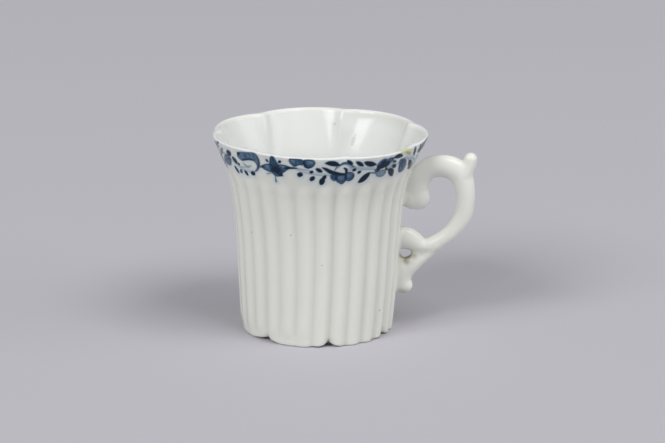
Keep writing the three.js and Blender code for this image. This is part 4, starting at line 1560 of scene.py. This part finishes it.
# %% Handle and seam materials
OLIVE_POOL_AND_SHADE = (0.31, 0.30, 0.18, 1)
HANDLE_POOL_SHADE, SEAM_POOL_SHADE = 0.4, 0.5
EYE_STAIN_AND_SHADE, EYE_STAIN_WIDTH = 0.9, 0.5
# Place out and up, spread and strength of each olive stain, which is partly painted shade
STAINS_AND_SHADE = [(25.6, 20.7, 1.3, 0.6), (28.0, 22.0, 0.9, 0.6), (25.2, 10.2, 1.5, 0.6)]
handle_finishes = []
for name, gain in (("handle_glaze_lit_and_shaded", HANDLE_POOL_SHADE), ("seam_glaze_lit_and_shaded", SEAM_POOL_SHADE)):
    material, tree, shader, colour = glazed(name, body=HANDLE_LIT_WHITE, pool_shade_gain=gain)
    stained_and_shaded = mixed(tree, read_mask(tree, "glaze")[1], colour, OLIVE_POOL_AND_SHADE)
    finish_glaze(tree, shader, stained_and_shaded)
    handle_finishes.append(material)
handle_glaze_lit_and_shaded, seam_glaze_lit_and_shaded = handle_finishes

handle_masks = np.zeros((len(net_points), 4))
handle_masks[:, 3] = 1
handle_masks[:, 0] = crevice_shade
# Olive round the small opening and under the lower knob: pooled glaze, partly painted shade
from_eye = eye_distance(net_points[:, 0], net_points[:, 2])
stain_and_shade = EYE_STAIN_AND_SHADE * np.exp(-(from_eye / EYE_STAIN_WIDTH) ** 2)
for out_at, z_at, spread, strength in STAINS_AND_SHADE:
    far = np.hypot(net_points[:, 0] - out_at, net_points[:, 2] - z_at)
    stain_and_shade = np.maximum(stain_and_shade, strength * np.exp(-(far / spread) ** 2))
handle_masks[:, 1] = stain_and_shade
print("made", handle_glaze_lit_and_shaded.name, "and", seam_glaze_lit_and_shaded.name)

# %% [markdown]
# The shared-out faces now become six objects, each with its own finish. They are put on the cup's
# axis, and the piece of the solid model that each one stands for is hidden.

# %% Build the handle's pieces
placed = net_points.copy()
placed[:, 0] += AXIS_X + bend(net_points[:, 2])
plan = [("handle_bow", handle_glaze_lit_and_shaded, "porcelain"), ("thumb_rest", handle_glaze_lit_and_shaded, "porcelain"),
        ("lower_scroll", handle_glaze_lit_and_shaded, "porcelain"), ("upper_slip", seam_glaze_lit_and_shaded, "slip_seam"),
        ("middle_slip", seam_glaze_lit_and_shaded, "slip_seam"), ("lower_slip", seam_glaze_lit_and_shaded, "slip_seam")]
for number, (name, (solid, material, slot)) in enumerate(zip(PIECES, plan)):
    faces = net_faces[kept & (face_owner == number)]
    points, renumbered = np.unique(faces, return_inverse=True)
    piece = mesh_object(name, placed[points], renumbered.reshape(faces.shape).tolist(), [material])
    add_masks(piece, "glaze", handle_masks[points])
    piece.data.normals_split_custom_set_from_vertices(normals[points].tolist())
    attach(piece, "root")
    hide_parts(solid)
    print(name, len(faces), "faces")
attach(cup, "root")
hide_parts("cup_body")
print("pieces of the handle:", len(plan))

# %% [markdown]
# ## Table, light and camera
# The cup stands on plain lilac-grey paper that fills the view. Two soft lamps, in front to the
# left and high on the right, cast the two soft shadows, a weak one fills in from the side, and the
# rest of the light comes evenly from all round. Their strengths add up to about one, so that a
# colour renders as it was written.

# %% The paper that the cup stands on
PAPER_GREY = (0.50, 0.49, 0.53, 1)
PAPER_ROUGHNESS, PAPER_SHINE = 0.9, 0.15
PAPER_SPAN = 5000
paper_material = bpy.data.materials.new("grey_paper")
paper_material.use_nodes = True
paper_shader = paper_material.node_tree.nodes["Principled BSDF"]
paper_shader.inputs["Base Color"].default_value = PAPER_GREY
paper_shader.inputs["Roughness"].default_value = PAPER_ROUGHNESS
paper_shader.inputs["Specular IOR Level"].default_value = PAPER_SHINE
half = PAPER_SPAN / 2
corners = [(-half, -half, 0), (half, -half, 0), (half, half, 0), (-half, half, 0)]
floor = mesh_object("paper_floor", corners, [(0, 1, 2, 3)], [paper_material])
print("paper of", PAPER_SPAN, "mm")

# %% [markdown]
# A lamp here is a soft rectangle that looks at the middle of the cup. Its place is given as angles,
# and its size sets how soft the edge of its shadow is. What it gives is written as its share of the
# light on the paper, and its power follows from that and the distance.

# %% Lamps and surrounding light
EVEN_LIGHT = (0.98, 0.98, 1.0, 1)
EVEN_SHARE = 0.29
LAMP_DISTANCE = 5.0
TARGET = np.array([AXIS_X, 0, HEIGHT / 2]) * MM


def axes_towards(azimuth, elevation):
    """Right, up and back vectors of something that looks at the cup. Azimuth 0 stands in front."""
    a, e = math.radians(azimuth), math.radians(elevation)
    back = np.array([math.sin(a) * math.cos(e), -math.cos(a) * math.cos(e), math.sin(e)])
    right = np.array([math.cos(a), math.sin(a), 0])
    return right, np.cross(back, right), back


def placed_matrix(right, up, back, point):
    return Matrix([[right[i], up[i], back[i], point[i]] for i in range(3)] + [[0, 0, 0, 1]])


def soft_lamp(name, azimuth, elevation, width, height, share):
    """A lamp whose share is how much of the light on the paper it gives."""
    right, up, back = axes_towards(azimuth, elevation)
    data = bpy.data.lights.new(name, "AREA")
    data.shape = "RECTANGLE"
    data.size, data.size_y = width, height
    data.energy = share * math.pi ** 2 * LAMP_DISTANCE ** 2 / math.sin(math.radians(elevation))
    lamp = bpy.data.objects.new(name, data)
    lamp.matrix_world = placed_matrix(right, up, back, TARGET + back * LAMP_DISTANCE)
    bpy.context.scene.collection.objects.link(lamp)
    print(name, round(data.energy, 2), "W")


soft_lamp("left_lamp", -39, 38, 2.33, 2.0, 0.32)
soft_lamp("right_lamp", 50, 56, 2.67, 2.33, 0.36)
soft_lamp("side_lamp", 80, 20, 3.67, 1.83, 0.07)
world = bpy.data.worlds.new("even_light")
bpy.context.scene.world = world
world.use_nodes = True
background = world.node_tree.nodes["Background"]
background.inputs["Color"].default_value = EVEN_LIGHT
background.inputs["Strength"].default_value = EVEN_SHARE
bpy.context.scene.view_settings.view_transform = "Standard"
print("even light gives", EVEN_SHARE, "of the light on the paper")

# %% [markdown]
# The camera stands where the photograph was taken from: a little right of the front, 16 degrees
# above the paper, at 0.9 m, with a long lens. It looks slightly past the cup, so that the cup's
# axis falls on the same pixel as in the photograph, and it is rolled by a third of a degree.

# %% The camera at the photograph's angle
PHOTO_WIDTH, PHOTO_HEIGHT = 665, 443
FOCAL_PIXELS = 3094.5
CAMERA_DISTANCE = 0.9
CAMERA_AZIMUTH, CAMERA_ELEVATION = 2.2, 15.9
AXIS_PIXEL_ACROSS, AXIS_PIXEL_DOWN = 315.7, 229.5
ROLL = math.radians(0.35)
SENSOR_WIDTH = 36
right, up, back = axes_towards(CAMERA_AZIMUTH, CAMERA_ELEVATION)
camera_data = bpy.data.cameras.new("photo_camera")
camera_data.sensor_width = SENSOR_WIDTH
camera_data.lens = FOCAL_PIXELS / PHOTO_WIDTH * SENSOR_WIDTH
camera_data.clip_start = 0.05
camera = bpy.data.objects.new("photo_camera", camera_data)
bpy.context.scene.collection.objects.link(camera)
bpy.context.scene.camera = camera
stand = TARGET + back * CAMERA_DISTANCE
per_pixel = CAMERA_DISTANCE / FOCAL_PIXELS
aim = TARGET + right * (PHOTO_WIDTH / 2 - AXIS_PIXEL_ACROSS) * per_pixel
aim = aim + up * (AXIS_PIXEL_DOWN - PHOTO_HEIGHT / 2) * per_pixel
look = (stand - aim) / np.linalg.norm(stand - aim)
side = np.cross(up, look)
side /= np.linalg.norm(side)
top = np.cross(look, side)
rolled_side = math.cos(ROLL) * side + math.sin(ROLL) * top
rolled_top = math.cos(ROLL) * top - math.sin(ROLL) * side
camera.matrix_world = placed_matrix(rolled_side, rolled_top, look, stand)
print("lens", round(camera_data.lens, 1), "mm")
